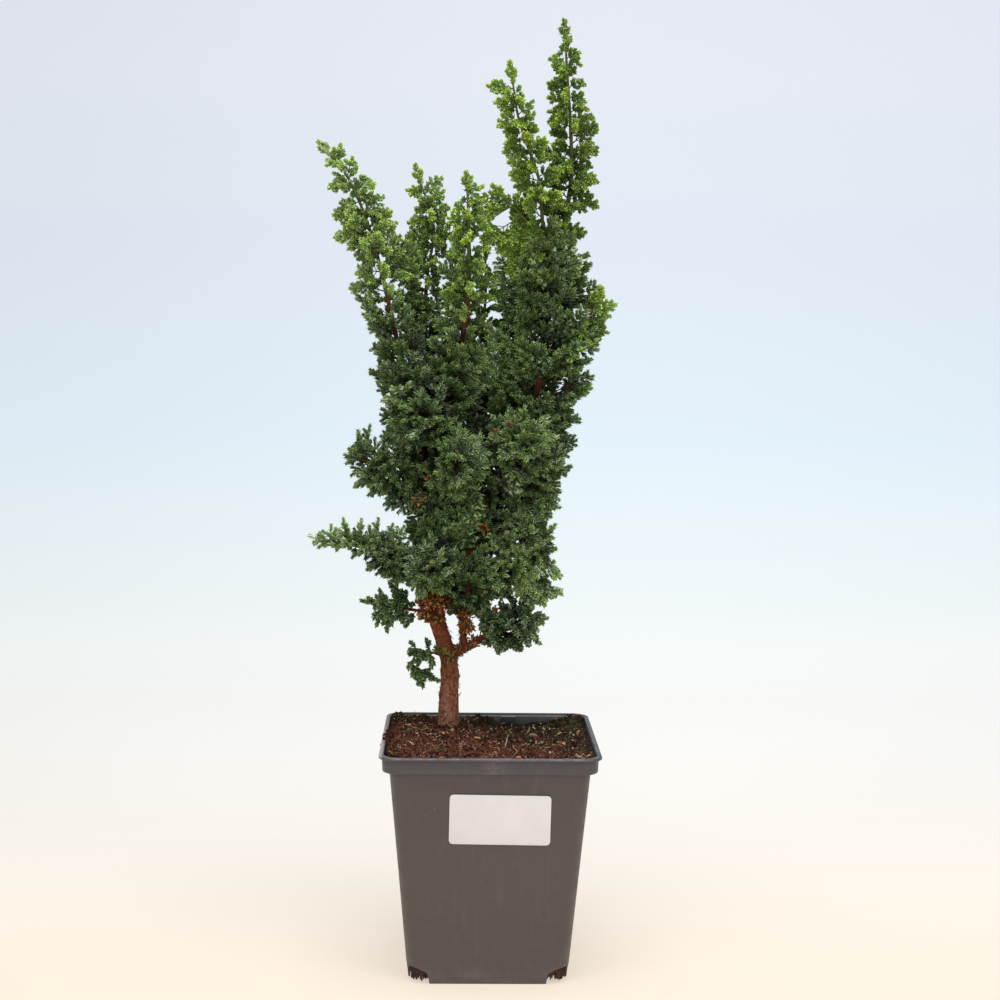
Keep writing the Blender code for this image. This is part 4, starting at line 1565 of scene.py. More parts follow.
@dataclass
class Foliage:
    """The whole crown: sprays from every limb out to the faces of the CAD masses."""

    shoots: Shoots
    crown: BVHTree
    branch_from: float = 9.0
    inner_spacing: float = 13.3
    inner_openness: float = 0.25
    inner_inset: float = 3.0
    inner_swell: float = 1.4
    missing: float = 0.08
    fan: Pair = (13.0, 20.0)
    spire_gap: Pair = (2.0, 2.3)
    seed: int = 20
    bare: tuple = ((-29, 180, 8), (-13, 175, 8), (-20, 165, 7), (4, 381, 5), (-86, 403, 4),
                   (-1, 157, 6), (9, 155, 7), (19, 157, 5), (-75, 212, 4), (-67, 208, 4), (-69, 187, 4),
                   (38, 214, 4), (39, 206, 4), (36, 222, 4), (-78, 355, 4), (-66, 320, 4), (53, 386, 4))

    def __post_init__(self) -> None:
        """Start the random draws and the twigs."""
        self.rng = Random(self.seed)
        self.twigs = bmesh.new()

    def build(self, leaf: Material, young: Material, bark: Material) -> None:
        """Grow every mass, then the twigs that carry them.

        Args:
            leaf: The finish of the older foliage.
            young: The finish of the spires.
            bark: The finish of the twigs.
        """
        for mass in MASSES:
            spire = mass.habit is SPIRE
            sprays = self.spire_sprays(mass) if spire else self.mass_sprays(mass)
            bm = bmesh.new()
            for spray in sprays:
                self.leaf_out(bm, spray)
            piece = as_object(mass.node + "_growth", bm, young if spire else leaf)
            settle(piece, "leaf_young" if spire else "leaf", mass.node)
        settle(as_object("twigs", self.twigs, bark, 60), "bark")

    def spire_sprays(self, mass: Mass) -> list[Spray]:
        """Arching sprays one by one up a stem, hung like feathers and shorter towards the tip's buds.

        Args:
            mass: The spire's mass.

        Returns:
            The sprays.
        """
        route = LIMBS[mass.limb].points(1.0)
        last = len(route) - 1
        faces = tree_of([mass.node])
        first = mass.start * last
        sprays = []
        turn = self.rng.uniform(0, tau)
        place = first
        while place < last - 4:
            index = int(place)
            share = (place - first) / (last - first)
            tangent = heading_at(route, index)
            turn += self.rng.uniform(2.2, 3.0)
            radial = facing(tangent) @ Vector((cos(turn), sin(turn), 0))
            lean = radians(self.rng.uniform(50, 74))
            way = (tangent * cos(lean) + radial * sin(lean)).normalized()
            root = route[index].lerp(route[index + 1], place - index)
            below = last - place
            # Buds at the tip widen fast into sprays, which then widen slowly
            widest = min(1.8 + 0.4 * below, 7.5 + 0.13 * below) * self.rng.uniform(0.74, 1.16)
            reach = max(3.4, min(widest, way_out(faces, root, way, 34.0) + 4.0))
            bend = root + way * reach * 0.6
            tip = root + way * reach * 0.96 - UP * reach * self.rng.uniform(0.05, 0.4)
            upright = (tangent - way * tangent.dot(way)).normalized()
            across = Matrix.Rotation(radians(self.rng.gauss(0, 36)), 3, way) @ upright
            sprays.append(self.spire_spray(mass, root, bend, tip, across, share))
            low, high = self.spire_gap
            place += low + (high - low) * share
        for *spot, rust in (tip if len(tip) > 3 else (*tip, 0.0) for tip in mass.extra):
            spot = Vector(spot)
            index = min(range(round(first), last), key=lambda i: (route[i] - spot).length)
            root = route[max(round(first), index - 4)]
            across = UP.cross(spot - root).cross(spot - root).normalized()
            sprays.append(self.spire_spray(mass, root, root.lerp(spot, 0.5) + UP, spot, across,
                                           (index - first) / (last - first), rust))
        end = route[last]
        tangent = (end - route[last - 4]).normalized()
        across = facing(tangent) @ RIGHT
        for back, aside in ((5.0, 0.0), (1.5, 0.8), (1.5, -0.8), (-2.0, 0.0)):
            foot = end - tangent * back
            sprays.append(Spray(foot - tangent * 2, foot, foot + tangent * 2.6 + across * aside, across, 0.0,
                                self.youth(mass, 1.0, 1.0, end), mass.bloom, BUD, 0.3))
        return sprays

    def spire_spray(self, mass: Mass, root: Vector, bend: Vector, tip: Vector, across: Vector,
                    share: float, rust: float = 0.0) -> Spray:
        """One spray of a spire at a share of its height."""
        rusty = 0.5 if self.rng.random() < 0.02 + 0.05 * share else 0.0
        return Spray(root, bend, tip, across, (tip - root).length * 0.94,
                     self.youth(mass, share, 0.7, tip), mass.bloom, GROWTHS[mass.habit], max(rust, rusty))

    def mass_sprays(self, mass: Mass) -> list[Spray]:
        """Sprays that end evenly over a mass's open faces, and fewer inside it.

        Args:
            mass: The mass.

        Returns:
            The sprays.
        """
        route = LIMBS[mass.limb].points(1.0)
        last = len(route) - 1
        first, final = round(mass.start * last), round(mass.end * last)
        spots = self.spots(mass)
        for spot in map(Vector, mass.extra):
            nearest = min(route, key=lambda point: (point - spot).length)
            spots.append((spot, (spot - nearest).normalized(), False))
        sprays = []
        for spot, normal, inner in spots:
            index = min(range(max(0, first - 20), final + 1), key=lambda i: (route[i] - spot).length)
            off = (route[index] - spot).length
            nearest, furthest = (0.5, 1.0) if mass.habit is BODY else (0.2, 0.7)
            root = route[max(0, index - round(off * self.rng.uniform(nearest, furthest)))]
            tangent = heading_at(route, index)
            reach = (spot - root).length
            lift = UP if mass.habit is not HANGING else -UP
            bend = root.lerp(spot, 0.5) + tangent * reach * 0.1 - lift * reach * 0.08
            tip = spot + lift * self.rng.uniform(0, 2.0)
            share = (index - first) / max(1, final - first)
            across = self.fan_side(tip - bend, normal, tangent)
            fan = self.rng.uniform(*self.fan)
            sprays.append(Spray(root, bend, tip, across, min(fan, reach * 0.92),
                                self.youth(mass, share, 0.1 if inner else 0.6, spot),
                                mass.bloom * self.rng.uniform(0.3, 1.4), GROWTHS[mass.habit], 0.0,
                                inner))
        return sprays

    def fan_side(self, way: Vector, normal: Vector, tangent: Vector) -> Vector:
        """The direction across a fan, mostly lying along the crown's face, with some turned.

        Args:
            way: The way the spray grows.
            normal: The normal of the crown's face.
            tangent: The limb's direction.

        Returns:
            The direction, of unit length.
        """
        across = normal.cross(way)
        if across.length < 0.2 * way.length:
            across = tangent.cross(way)
        across.normalize()
        turn = Matrix.Rotation(radians(self.rng.gauss(0, 38)), 3, way.normalized())
        return (turn @ across).normalized()

    def youth(self, mass: Mass, share: float, spread: float, spot: Vector) -> float:
        """How new the growth is at a share of a mass's stretch, with patches of newer growth.

        Args:
            mass: The mass.
            share: The share of its stretch.
            spread: How much chance there is in it.
            spot: The spray's tip.

        Returns:
            The youth, 0 or more.
        """
        low, high = mass.youth
        patch = noise.noise(spot / 16) * 0.35
        scatter = spread * self.rng.uniform(-0.18, 0.22)
        return max(0.0, low + (high - low) * clamp(share) + scatter + patch)

    def spots(self, mass: Mass) -> list[Spot]:
        """Well spread places over a mass's faces.

        Args:
            mass: The mass.

        Returns:
            For each, its place, its face's normal, and whether it is inside the crown.
        """
        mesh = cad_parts[mass.node].data
        mesh.calc_loop_triangles()
        corners = [TO_POT @ v.co for v in mesh.vertices]
        triangles = [[corners[i] for i in t.vertices] for t in mesh.loop_triangles]
        areas = [((b - a).cross(c - a)).length / 2 for a, b, c in triangles]
        tries = round(sum(areas) / (0.12 * mass.spacing ** 2))
        taken: list[Spot] = []
        for a, b, c in self.rng.choices(triangles, areas, k=tries):
            u, v = self.rng.random(), self.rng.random()
            if u + v > 1:
                u, v = 1 - u, 1 - v
            spot = a + (b - a) * u + (c - a) * v
            normal = (b - a).cross(c - a).normalized()
            inner = self.openness(spot, normal) < self.inner_openness
            gap = self.inner_spacing if inner else mass.spacing
            if all((spot - other).length > (gap if other_inner == inner else gap * 0.6)
                   for other, _, other_inner in taken):
                taken.append((spot - normal * (self.inner_inset if inner else mass.inset), normal, inner))
        return taken

    def openness(self, spot: Vector, normal: Vector) -> float:
        """The share of directions from a place that leave the crown without meeting it.

        Args:
            spot: The place.
            normal: The normal of the face it lies on.

        Returns:
            The share.
        """
        start = spot + normal * 0.6
        clear = 0
        tests = 8
        for i in range(tests):
            tilt = radians(12 + 55 * (i % 2))
            turn = i * GOLDEN_TURN
            local = Vector((sin(tilt) * cos(turn), sin(tilt) * sin(turn), cos(tilt)))
            clear += self.crown.ray_cast(start, facing(normal) @ local, FURTHEST_RAY)[0] is None
        return clear / tests

    def is_bare(self, spot: Vector) -> bool:
        """Whether a place, seen from the front, is in one of the round places where nothing grows."""
        return any(hypot(spot.x - x, spot.z - z) < radius for x, z, radius in self.bare)

    def leaf_out(self, bm: BMesh, spray: Spray) -> None:
        """Set a spray with side shoots in pairs and a shoot at its end.

        Args:
            bm: The mesh the shoots are added to.
            spray: The spray.
        """
        if self.is_bare(spray.tip):
            return
        length = max(spray.length, 0.1)
        start = max(0.1, 1 - spray.fan / length)
        growth = spray.growth
        count = round(min(spray.fan, length) / growth.gap)
        spray.shades = tuple(shade_at(self.crown, spray.at(share)) * growth.painted_shade for share in (start, 0.95))
        self.add_twig(spray)
        for i in range(count):
            share = start + (1 - start) * (i + 0.4) / count
            place, ahead = spray.at(share), spray.heading(share)
            normal = ahead.cross(spray.across).normalized()
            left = (1 - share) * length
            for hand in (-1, 1):
                if self.rng.random() < self.missing:
                    continue
                turn = radians(self.rng.uniform(38, 54))
                way = (ahead * cos(turn) + spray.across * (hand * sin(turn))
                       + normal * self.rng.uniform(-0.3, 0.3) - UP * growth.droop).normalized()
                reach = growth.shortest + 0.5 * left
                if reach > self.branch_from:
                    self.branch(bm, spray, place, way, ahead, reach)
                else:
                    self.plant(bm, place, way, spray.across, reach, spray, share)
            if i % 2 and not spray.inner:
                lean = normal * self.rng.choice((-1, 1)) * 0.8
                self.plant(bm, place, (ahead + lean).normalized(), spray.across,
                           growth.shortest, spray, share)
        self.plant(bm, spray.at(0.93), spray.heading(1.0), spray.across, growth.shortest + 1.0, spray, 1.0)

    def branch(self, bm: BMesh, spray: Spray, place: Vector, way: Vector, ahead: Vector,
               reach: float) -> None:
        """A side branch of a spray, with shoots of its own that lean the way the spray grows.

        Args:
            bm: The mesh the shoots are added to.
            spray: The spray it grows from.
            place: Where it starts.
            way: Where it points.
            ahead: The way the spray grows there.
            reach: Its length with the shoot at its end.
        """
        growth = spray.growth
        end = place + way * (reach - growth.shortest * 0.8)
        if self.is_bare(end):
            return
        self.add_stem(place, end, 0.3, 0.22, max(spray.shades))
        side = (ahead - way * ahead.dot(way)).normalized()
        pairs = max(1, int((reach - 3.0) / (growth.gap + 0.4)))
        for i in range(pairs):
            share = (i + 0.6) / pairs
            spot = place.lerp(end, share)
            for hand in (-1, 1):
                turn = radians(self.rng.uniform(36, 52))
                out = (way * cos(turn) + side * (hand * sin(turn))).normalized()
                self.plant(bm, spot, out, side, growth.shortest * self.rng.uniform(0.95, 1.25), spray, share)
        self.plant(bm, end - way * 1.0, way, side, growth.shortest * self.rng.uniform(1.15, 1.45), spray, 1.0)

    def plant(self, bm: BMesh, place: Vector, way: Vector, across: Vector, reach: float,
              spray: Spray, share: float) -> None:
        """Set one shoot.

        Args:
            bm: The mesh it is added to.
            place: Where its stem starts.
            way: Where it points.
            across: Roughly across it.
            reach: Its length.
            spray: The spray that it is on.
            share: How far along the spray it is, 1 being the newest end.
        """
        growth = spray.growth
        reach = min(growth.longest, max(growth.shortest, reach)) * self.rng.uniform(0.88, 1.12)
        leafy = self.shoots.full if growth.plump else self.shoots.fine
        kinds = self.shoots.sparse if spray.inner else leafy
        swell = self.inner_swell if spray.inner else 1.0
        girth = growth.girth * self.rng.uniform(0.92, 1.18) * swell
        reach *= swell
        if self.is_bare(place + way * reach * 0.6):
            return
        turned = (aim(place, way, across) @ spin(self.rng)
                  @ Matrix.Diagonal((girth, girth, reach / self.shoots.length, 1)))
        age = spray.youth * (0.45 + 0.7 * share) + self.rng.uniform(-0.06, 0.06)
        root_shade, tip_shade = spray.shades
        plant_copy(bm, self.rng.choice(kinds), turned, age=clamp(age),
                   bloom=min(1.0, spray.bloom), rust=spray.rust if share > 0.8 else 0.0,
                   shade=root_shade + (tip_shade - root_shade) * share)

    def add_twig(self, spray: Spray) -> None:
        """The woody part of a spray.

        Args:
            spray: The spray.
        """
        pieces = 3
        thick, thin = min(0.62, 0.3 + spray.length * 0.01), 0.2
        for i in range(pieces):
            first, second = i / pieces, (i + 1) / pieces
            self.add_stem(spray.at(first), spray.at(second), thick + (thin - thick) * first,
                          thick + (thin - thick) * second, shade_at(self.crown, spray.at(first)))

    def add_stem(self, start: Vector, end: Vector, thick: float, thin: float, shade: float) -> None:
        """A short straight stretch of twig, a little longer than its stretch so that ends meet.

        Args:
            start: Where it starts.
            end: Where it ends.
            thick: Its radius at the start.
            thin: Its radius at the end.
            shade: How dark it is, from 0 to 1.
        """
        way = end - start
        if way.length < 0.05:
            return
        girth = (thick + thin) / 2
        plant_copy(self.twigs, self.shoots.stem, aim(start, way)
                   @ Matrix.Diagonal((girth, girth, way.length + girth * 0.6, 1)), shade=shade)


@dataclass
class DeadTufts:
    """Clusters of dead foliage that cling to the trunk and its fork.

    Each has its centre, spread, number of shoots and least age; the oldest are olive, not amber.
    """

    shoots: Shoots
    seed: int = 5
    clusters: tuple = (
        ((-33.5, 8, 186), 5.5, 120, 0.0), ((-30, 5, 188), 7.0, 160, 0.0), ((-25, 6, 185), 5.5, 90, 0.1),
        ((-34, 8, 178), 5.0, 60, 0.0), ((-27, 7, 177), 5.0, 70, 0.2), ((-26, 12, 160), 4.0, 34, 0.75),
        ((-21, 11, 156), 3.0, 18, 0.7), ((-13, 8, 179), 6.2, 130, 0.0), ((-12, 9, 173), 5.0, 70, 0.0),
        ((-9, 8, 166), 3.0, 20, 0.0), ((2, 7, 181), 3.5, 20, 0.0), ((-16, 12, 160), 4.0, 20, 0.3),
        ((-31, 6, 177), 3.0, 18, 0.2), ((-4, 8, 224), 5.0, 18, 0.0), ((-37, -4, 240), 4.0, 12, 0.0),
        ((9, -13, 279), 2.0, 8, 0.3), ((1, -12, 275), 1.5, 5, 0.3), ((-31, -13, 252), 2.0, 6, 0.0),
    )

    def build(self, finish: Material) -> None:
        """Plant small dead shoots round each centre, pointing outwards.

        Args:
            finish: Their finish.
        """
        rng = Random(self.seed)
        bm = bmesh.new()
        for centre, spread, count, oldest in self.clusters:
            for _ in range(count):
                out = Vector((rng.gauss(0, 1), rng.gauss(0, 1), rng.gauss(0, 1))).normalized()
                place = Vector(centre) + out * spread * rng.random() ** 0.5 * 0.6
                way = (out + Vector((0, -0.5, rng.uniform(-0.4, 0.8)))).normalized()
                plant_copy(bm, rng.choice(self.shoots.sparse),
                           aim(place, way) @ Matrix.Scale(rng.uniform(0.32, 0.58), 4),
                           age=rng.uniform(oldest, 1.0))
        settle(as_object("dead_tufts", bm, finish), "dead_leaf")


# Soil and what lies on it


@dataclass
class Soil:
    """The peat in the pot, with fibres, grains and fallen bits on it."""

    pot: Pot
    top: float = 114.6
    mound: float = 2.2
    mound_width: float = 22.0
    roughness: float = 1.1
    grain: float = 17.0
    cells: int = 104
    taper: float = 0.45
    spill: tuple = ((-51.4, -6.0), (2.6, 14.0))
    side_rise: float = 3.4
    heel: Pair = (9.0, 1.5)
    hollow: tuple = ((16.0, 44.0), 15.0, -2.4)
    corner_rise: tuple = ((45.0, 43.0), 9.0, 3.0)
    back_rise: tuple = ((-4.0, 46.0), 9.0, 3.2)
    trunk_foot: Pair = (-21.0, 19.0)
    trunk_clearance: float = 7.0
    seed: int = 8

    def height(self, x: float, y: float) -> float:
        """The smooth surface: a low mound round the trunk and to the left, lower at the back right.

        Args:
            x: How far it is to the right of the pot's middle.
            y: How far it is behind the pot's middle.

        Returns:
            The height.
        """
        foot_x, foot_y = self.trunk_foot
        near_trunk = exp(-((x - foot_x) ** 2 + (y - foot_y) ** 2) / self.mound_width ** 2)
        left = max(0.0, -x) / self.pot.rim_half
        sink = max(0.0, x + y) / (2 * self.pot.rim_half)
        rough = noise.noise(Vector((x, y, 0)) / self.grain)
        swell = self.side_rise * (x / self.pot.rim_half) ** 4
        for (middle_x, middle_y), wide, rise in (self.hollow, self.corner_rise, self.back_rise,
                                                 (self.trunk_foot, *self.heel)):
            swell += rise * exp(-((x - middle_x) ** 2 + (y - middle_y) ** 2) / wide ** 2)
        return (self.top + self.mound * (0.8 * near_trunk + 0.85 * left - 0.7 * sink) + swell
                + self.roughness * rough)

    def clods(self, x: float, y: float) -> float:
        """How far the clods rise at a place, less than 0 between them."""
        large = 0.55 - abs(noise.noise(Vector((x, y, 3)) / 5.2)) * 3.0
        return -large * 0.8 + noise.noise(Vector((x, y, 5)) / 2.6) * 1.5

    def crumbled(self, x: float, y: float) -> float:
        """The surface with its clods and crumbs."""
        return self.height(x, y) + self.clods(x, y) + noise.noise(Vector((x, y, 9)) / 1.3) * 1.1

    def soil_shade(self, x: float, y: float) -> float:
        """How much painted shade a place gets for lying between clods or against a wall, from 0 to 1.

        Args:
            x: How far it is to the right of the pot's middle.
            y: How far it is behind the pot's middle.

        Returns:
            The darkness.
        """
        low = clamp(0.35 - self.clods(x, y) * 1.1)
        edge = max(0.0, max(abs(x), -y) / (self.pot.collar_half - self.pot.wall) - 0.93) / 0.07
        return min(1.0, low + 0.6 * edge)

    def draw_in_corner(self, vert: BMVert, half: float) -> None:
        """Move a point in a square's corner onto the pot's rounded corner.

        Args:
            vert: The point, which is moved.
            half: Half the square's width.
        """
        straight = half - self.pot.corner
        over = Vector((max(0, abs(vert.co.x) - straight), max(0, abs(vert.co.y) - straight)))
        if over.x and over.y:
            pulled = over.normalized() * max(over)
            vert.co.x = copysign(straight + pulled.x, vert.co.x)
            vert.co.y = copysign(straight + pulled.y, vert.co.y)

    def build(self, finish: Material) -> None:
        """Fill the pot.

        Args:
            finish: The peat.
        """
        pot = self.pot
        top_half = pot.collar_half - pot.wall - self.taper
        bm = bmesh.new()
        soil_shade = bm.verts.layers.float.new("soil_shade")
        bmesh.ops.create_grid(bm, x_segments=self.cells, y_segments=self.cells, size=top_half)
        for vert in bm.verts:
            self.draw_in_corner(vert, top_half)
            vert.co.z = self.crumbled(vert.co.x, vert.co.y)
            vert[soil_shade] = self.soil_shade(vert.co.x, vert.co.y)
        levels = [
            (pot.collar_z + 3.0, top_half),
            (pot.collar_z + 0.2, pot.wall_half(pot.collar_z) - pot.wall - self.taper),
            (pot.floor_z + 0.3, pot.wall_half(pot.floor_z) - pot.wall - self.taper),
        ]
        width = top_half
        rim = [e for e in bm.edges if e.is_boundary]
        for z, half in levels:
            made = bmesh.ops.extrude_edge_only(bm, edges=rim)["geom"]
            rim = [g for g in made if isinstance(g, bmesh.types.BMEdge) and g.is_boundary]
            for vert in {v for e in rim for v in e.verts}:
                vert.co.x *= half / width
                vert.co.y *= half / width
                self.draw_in_corner(vert, half)
                vert.co.z = z
            width = half
        bmesh.ops.holes_fill(bm, edges=rim)
        face_out(bm)
        settle(as_object("soil_block", bm, finish, 60), "peat", "soil")

    def somewhere(self, rng: Random, margin: float = 3.0) -> Vector:
        """A random place on the surface, clear of the trunk.

        Args:
            rng: What the place is drawn from.
            margin: How far it keeps from the collar.

        Returns:
            The place.
        """
        half = self.pot.collar_half - margin
        foot = Vector(self.trunk_foot)
        while True:
            x, y = rng.uniform(-half, half), rng.uniform(-half, half)
            if (Vector((x, y)) - foot).length > self.trunk_clearance:
                return Vector((x, y, self.crumbled(x, y)))

    def build_crumbs(self, finish: Material, count: int = 2000, spilt: int = 170,
                     heaped: int = 170) -> None:
        """Loose crumbs of peat, some spilt over the left rim and some heaped at the trunk's foot.

        Args:
            finish: The peat.
            count: How many lie anywhere.
            spilt: How many have spilt over the rim.
            heaped: How many are heaped at the trunk.
        """
        rng = Random(self.seed)
        bm = bmesh.new()
        for number in range(count + spilt + heaped):
            size = rng.uniform(0.3, 1.9) * rng.uniform(0.4, 1.0)
            if number < count:
                place = self.somewhere(rng)
            else:
                size *= 0.9
                place = self.on_left_rim(rng) if number < count + spilt else self.at_foot(rng)
            tumble = Matrix.Rotation(rng.uniform(0, tau), 4, leaning(rng, 1))
            squash = Matrix.Diagonal((rng.uniform(0.8, 1.7), rng.uniform(0.6, 1.1), rng.uniform(0.6, 1.1), 1))
            lump = bmesh.new()
            add_cone(lump, 4, size, size * rng.uniform(0.2, 0.8), size * 1.3,
                     Matrix.Translation(place) @ tumble @ squash, standing=False)
            pour(lump, bm)
        settle(as_object("soil_crumbs", bm, finish), "peat")

    def on_left_rim(self, rng: Random) -> Vector:
        """A place in the little heap that has spilt over the left rim.

        Args:
            rng: What the place is drawn from.

        Returns:
            The place.
        """
        (x, y), (wide, long) = self.spill
        along = rng.gauss(0, 0.5)
        return Vector((x + rng.uniform(-0.9, 0.5) * wide, y + along * long,
                       self.pot.height + rng.uniform(-1.5, 0.9) * exp(-along ** 2)))

    def at_foot(self, rng: Random) -> Vector:
        """A place close round the trunk, where crumbs lean against the bark.

        Args:
            rng: What the place is drawn from.

        Returns:
            The place.
        """
        near, far = 5.6, 9.6
        x, y = self.trunk_foot
        away, turn = rng.uniform(near, far), rng.uniform(0, tau)
        x, y = x + away * cos(turn), y + away * sin(turn)
        return Vector((x, y, self.crumbled(x, y) + rng.uniform(0, 1.6) * (far - away) / (far - near)))

    def build_bits(self, finish: Material, count: int = 420) -> None:
        """Small flat chips and scraps of many colours among the peat.

        Args:
            finish: Their finish.
            count: How many there are.
        """
        rng = Random(self.seed + 3)
        chip = bmesh.new()
        chip.verts.layers.float.new("age")
        add_cone(chip, 5, 1.0, 0.8, 0.35, standing=False)
        shape = as_mesh("chip", chip)
        bm = bmesh.new()
        for _ in range(count):
            size = rng.uniform(0.28, 0.95) * rng.uniform(0.6, 1.3) * (2.0 if rng.random() < 0.1 else 1.0)
            lying = leaning(rng, 0.5)
            long = Matrix.Diagonal((size * rng.uniform(1.0, 2.2), size * rng.uniform(0.5, 1.0), size, 1))
            spun = spin(rng)
            plant_copy(bm, shape, aim(self.somewhere(rng) + UP * rng.uniform(0.2, 0.9), lying) @ spun @ long,
                       age=rng.random())
        settle(as_object("soil_bits", bm, finish), "peat")

    def build_root_ends(self, finish: Material, each: int = 250) -> None:
        """A mat of root ends that hangs just behind each corner opening, almost to the ground.

        Args:
            finish: Their finish.
            each: How many hang in each opening.
        """
        rng = Random(self.seed + 2)
        bm = bmesh.new()
        under = self.pot.floor_underside
        thinnest, thickest, spare, beside_foot = 0.3, 0.8, 0.5, 24.5
        inner = self.pot.wall_base_half - self.pot.wall + spare
        straight = self.pot.wall_base_half - self.pot.corner
        furthest = self.pot.corner - self.pot.wall - thickest + spare
        for quarter in range(4):
            turn = Matrix.Rotation(quarter * pi / 2, 3, "Z")
            for _ in range(each):
                x, y = inner - thickest - rng.uniform(0, 4.0), rng.uniform(beside_foot, inner - thickest)
                if rng.random() < 0.5:
                    x, y = y, x
                over = Vector((max(0, x - straight), max(0, y - straight)))
                if over.length > furthest:
                    over *= furthest / over.length
                    x, y = straight + over.x, straight + over.y
                place = turn @ Vector((x, y, under + 0.2))
                drop = under - rng.uniform(0.9, 4.6)
                kink = place + Vector((rng.uniform(-0.2, 0.2), rng.uniform(-0.2, 0.2), -1)) * drop * 0.5
                tip = kink + Vector((rng.uniform(-0.2, 0.2), rng.uniform(-0.2, 0.2), -1)) * drop * 0.5
                thick = rng.uniform(thinnest, thickest)
                add_tube(bm, [place, kink, tip], [thick, thick * 0.9, thick * 0.4], 3)
        settle(as_object("root_ends", bm, finish), "straw")

    def build_fibres(self, finish: Material, name: str, count: int, length: tuple,
                     radius: tuple, seed: int) -> None:
        """Loose fibres that lie on the surface or stick up from it.

        Args:
            finish: Their finish.
            name: The piece's name.
            count: How many there are.
            length: Their shortest and longest.
            radius: Their thinnest and thickest.
            seed: What their places are drawn from.
        """
        rng = Random(seed)
        bm = bmesh.new()
        half, shortest = self.pot.collar_half - 2.5, 0.8
        for _ in range(count):
            place = self.somewhere(rng, 5.0)
            # Fewer lie towards the back right, where the peat is damp
            if place.x * 0.8 + place.y > rng.gauss(12, 26):
                continue
            heading = rng.uniform(0, tau)
            reach = rng.uniform(*length)
            curl = rng.uniform(-2.2, 2.2)
            rise = rng.uniform(0.0, 0.7) if rng.random() < 0.35 else 0.0
            route, taper = [], (1.0, 1.0, 0.9, 0.6)
            for i in range(len(taper)):
                share = i / (len(taper) - 1)
                angle = heading + curl * share
                x = max(-half, min(half, place.x + cos(angle) * reach * share))
                y = max(-half, min(half, place.y + sin(angle) * reach * share))
                route.append(Vector((x, y, self.crumbled(x, y) + 0.35 + rise * reach * share)))
            if (route[-1] - route[0]).length < shortest:
                continue
            thick = rng.uniform(*radius)
            add_tube(bm, route, [thick * share for share in taper], 3)
        face_out(bm)
        settle(as_object(name, bm, finish), "straw")

    def build_grains(self, finish: Material, count: int = 230) -> None:
        """A few pale mineral grains.

        Args:
            finish: Their finish.
            count: How many there are.
        """
        rng = Random(self.seed + 1)
        bm = bmesh.new()
        for _ in range(count):
            size = rng.uniform(0.13, 0.4)
            place = self.somewhere(rng) + UP * rng.uniform(0.2, 0.8)
            squash = Matrix.Diagonal((rng.uniform(0.8, 1.4), 1, rng.uniform(0.6, 0.9), 1))
            bmesh.ops.create_icosphere(bm, subdivisions=1, radius=size,
                                       matrix=Matrix.Translation(place) @ squash)
        settle(as_object("mineral_grains", bm, finish), "peat")


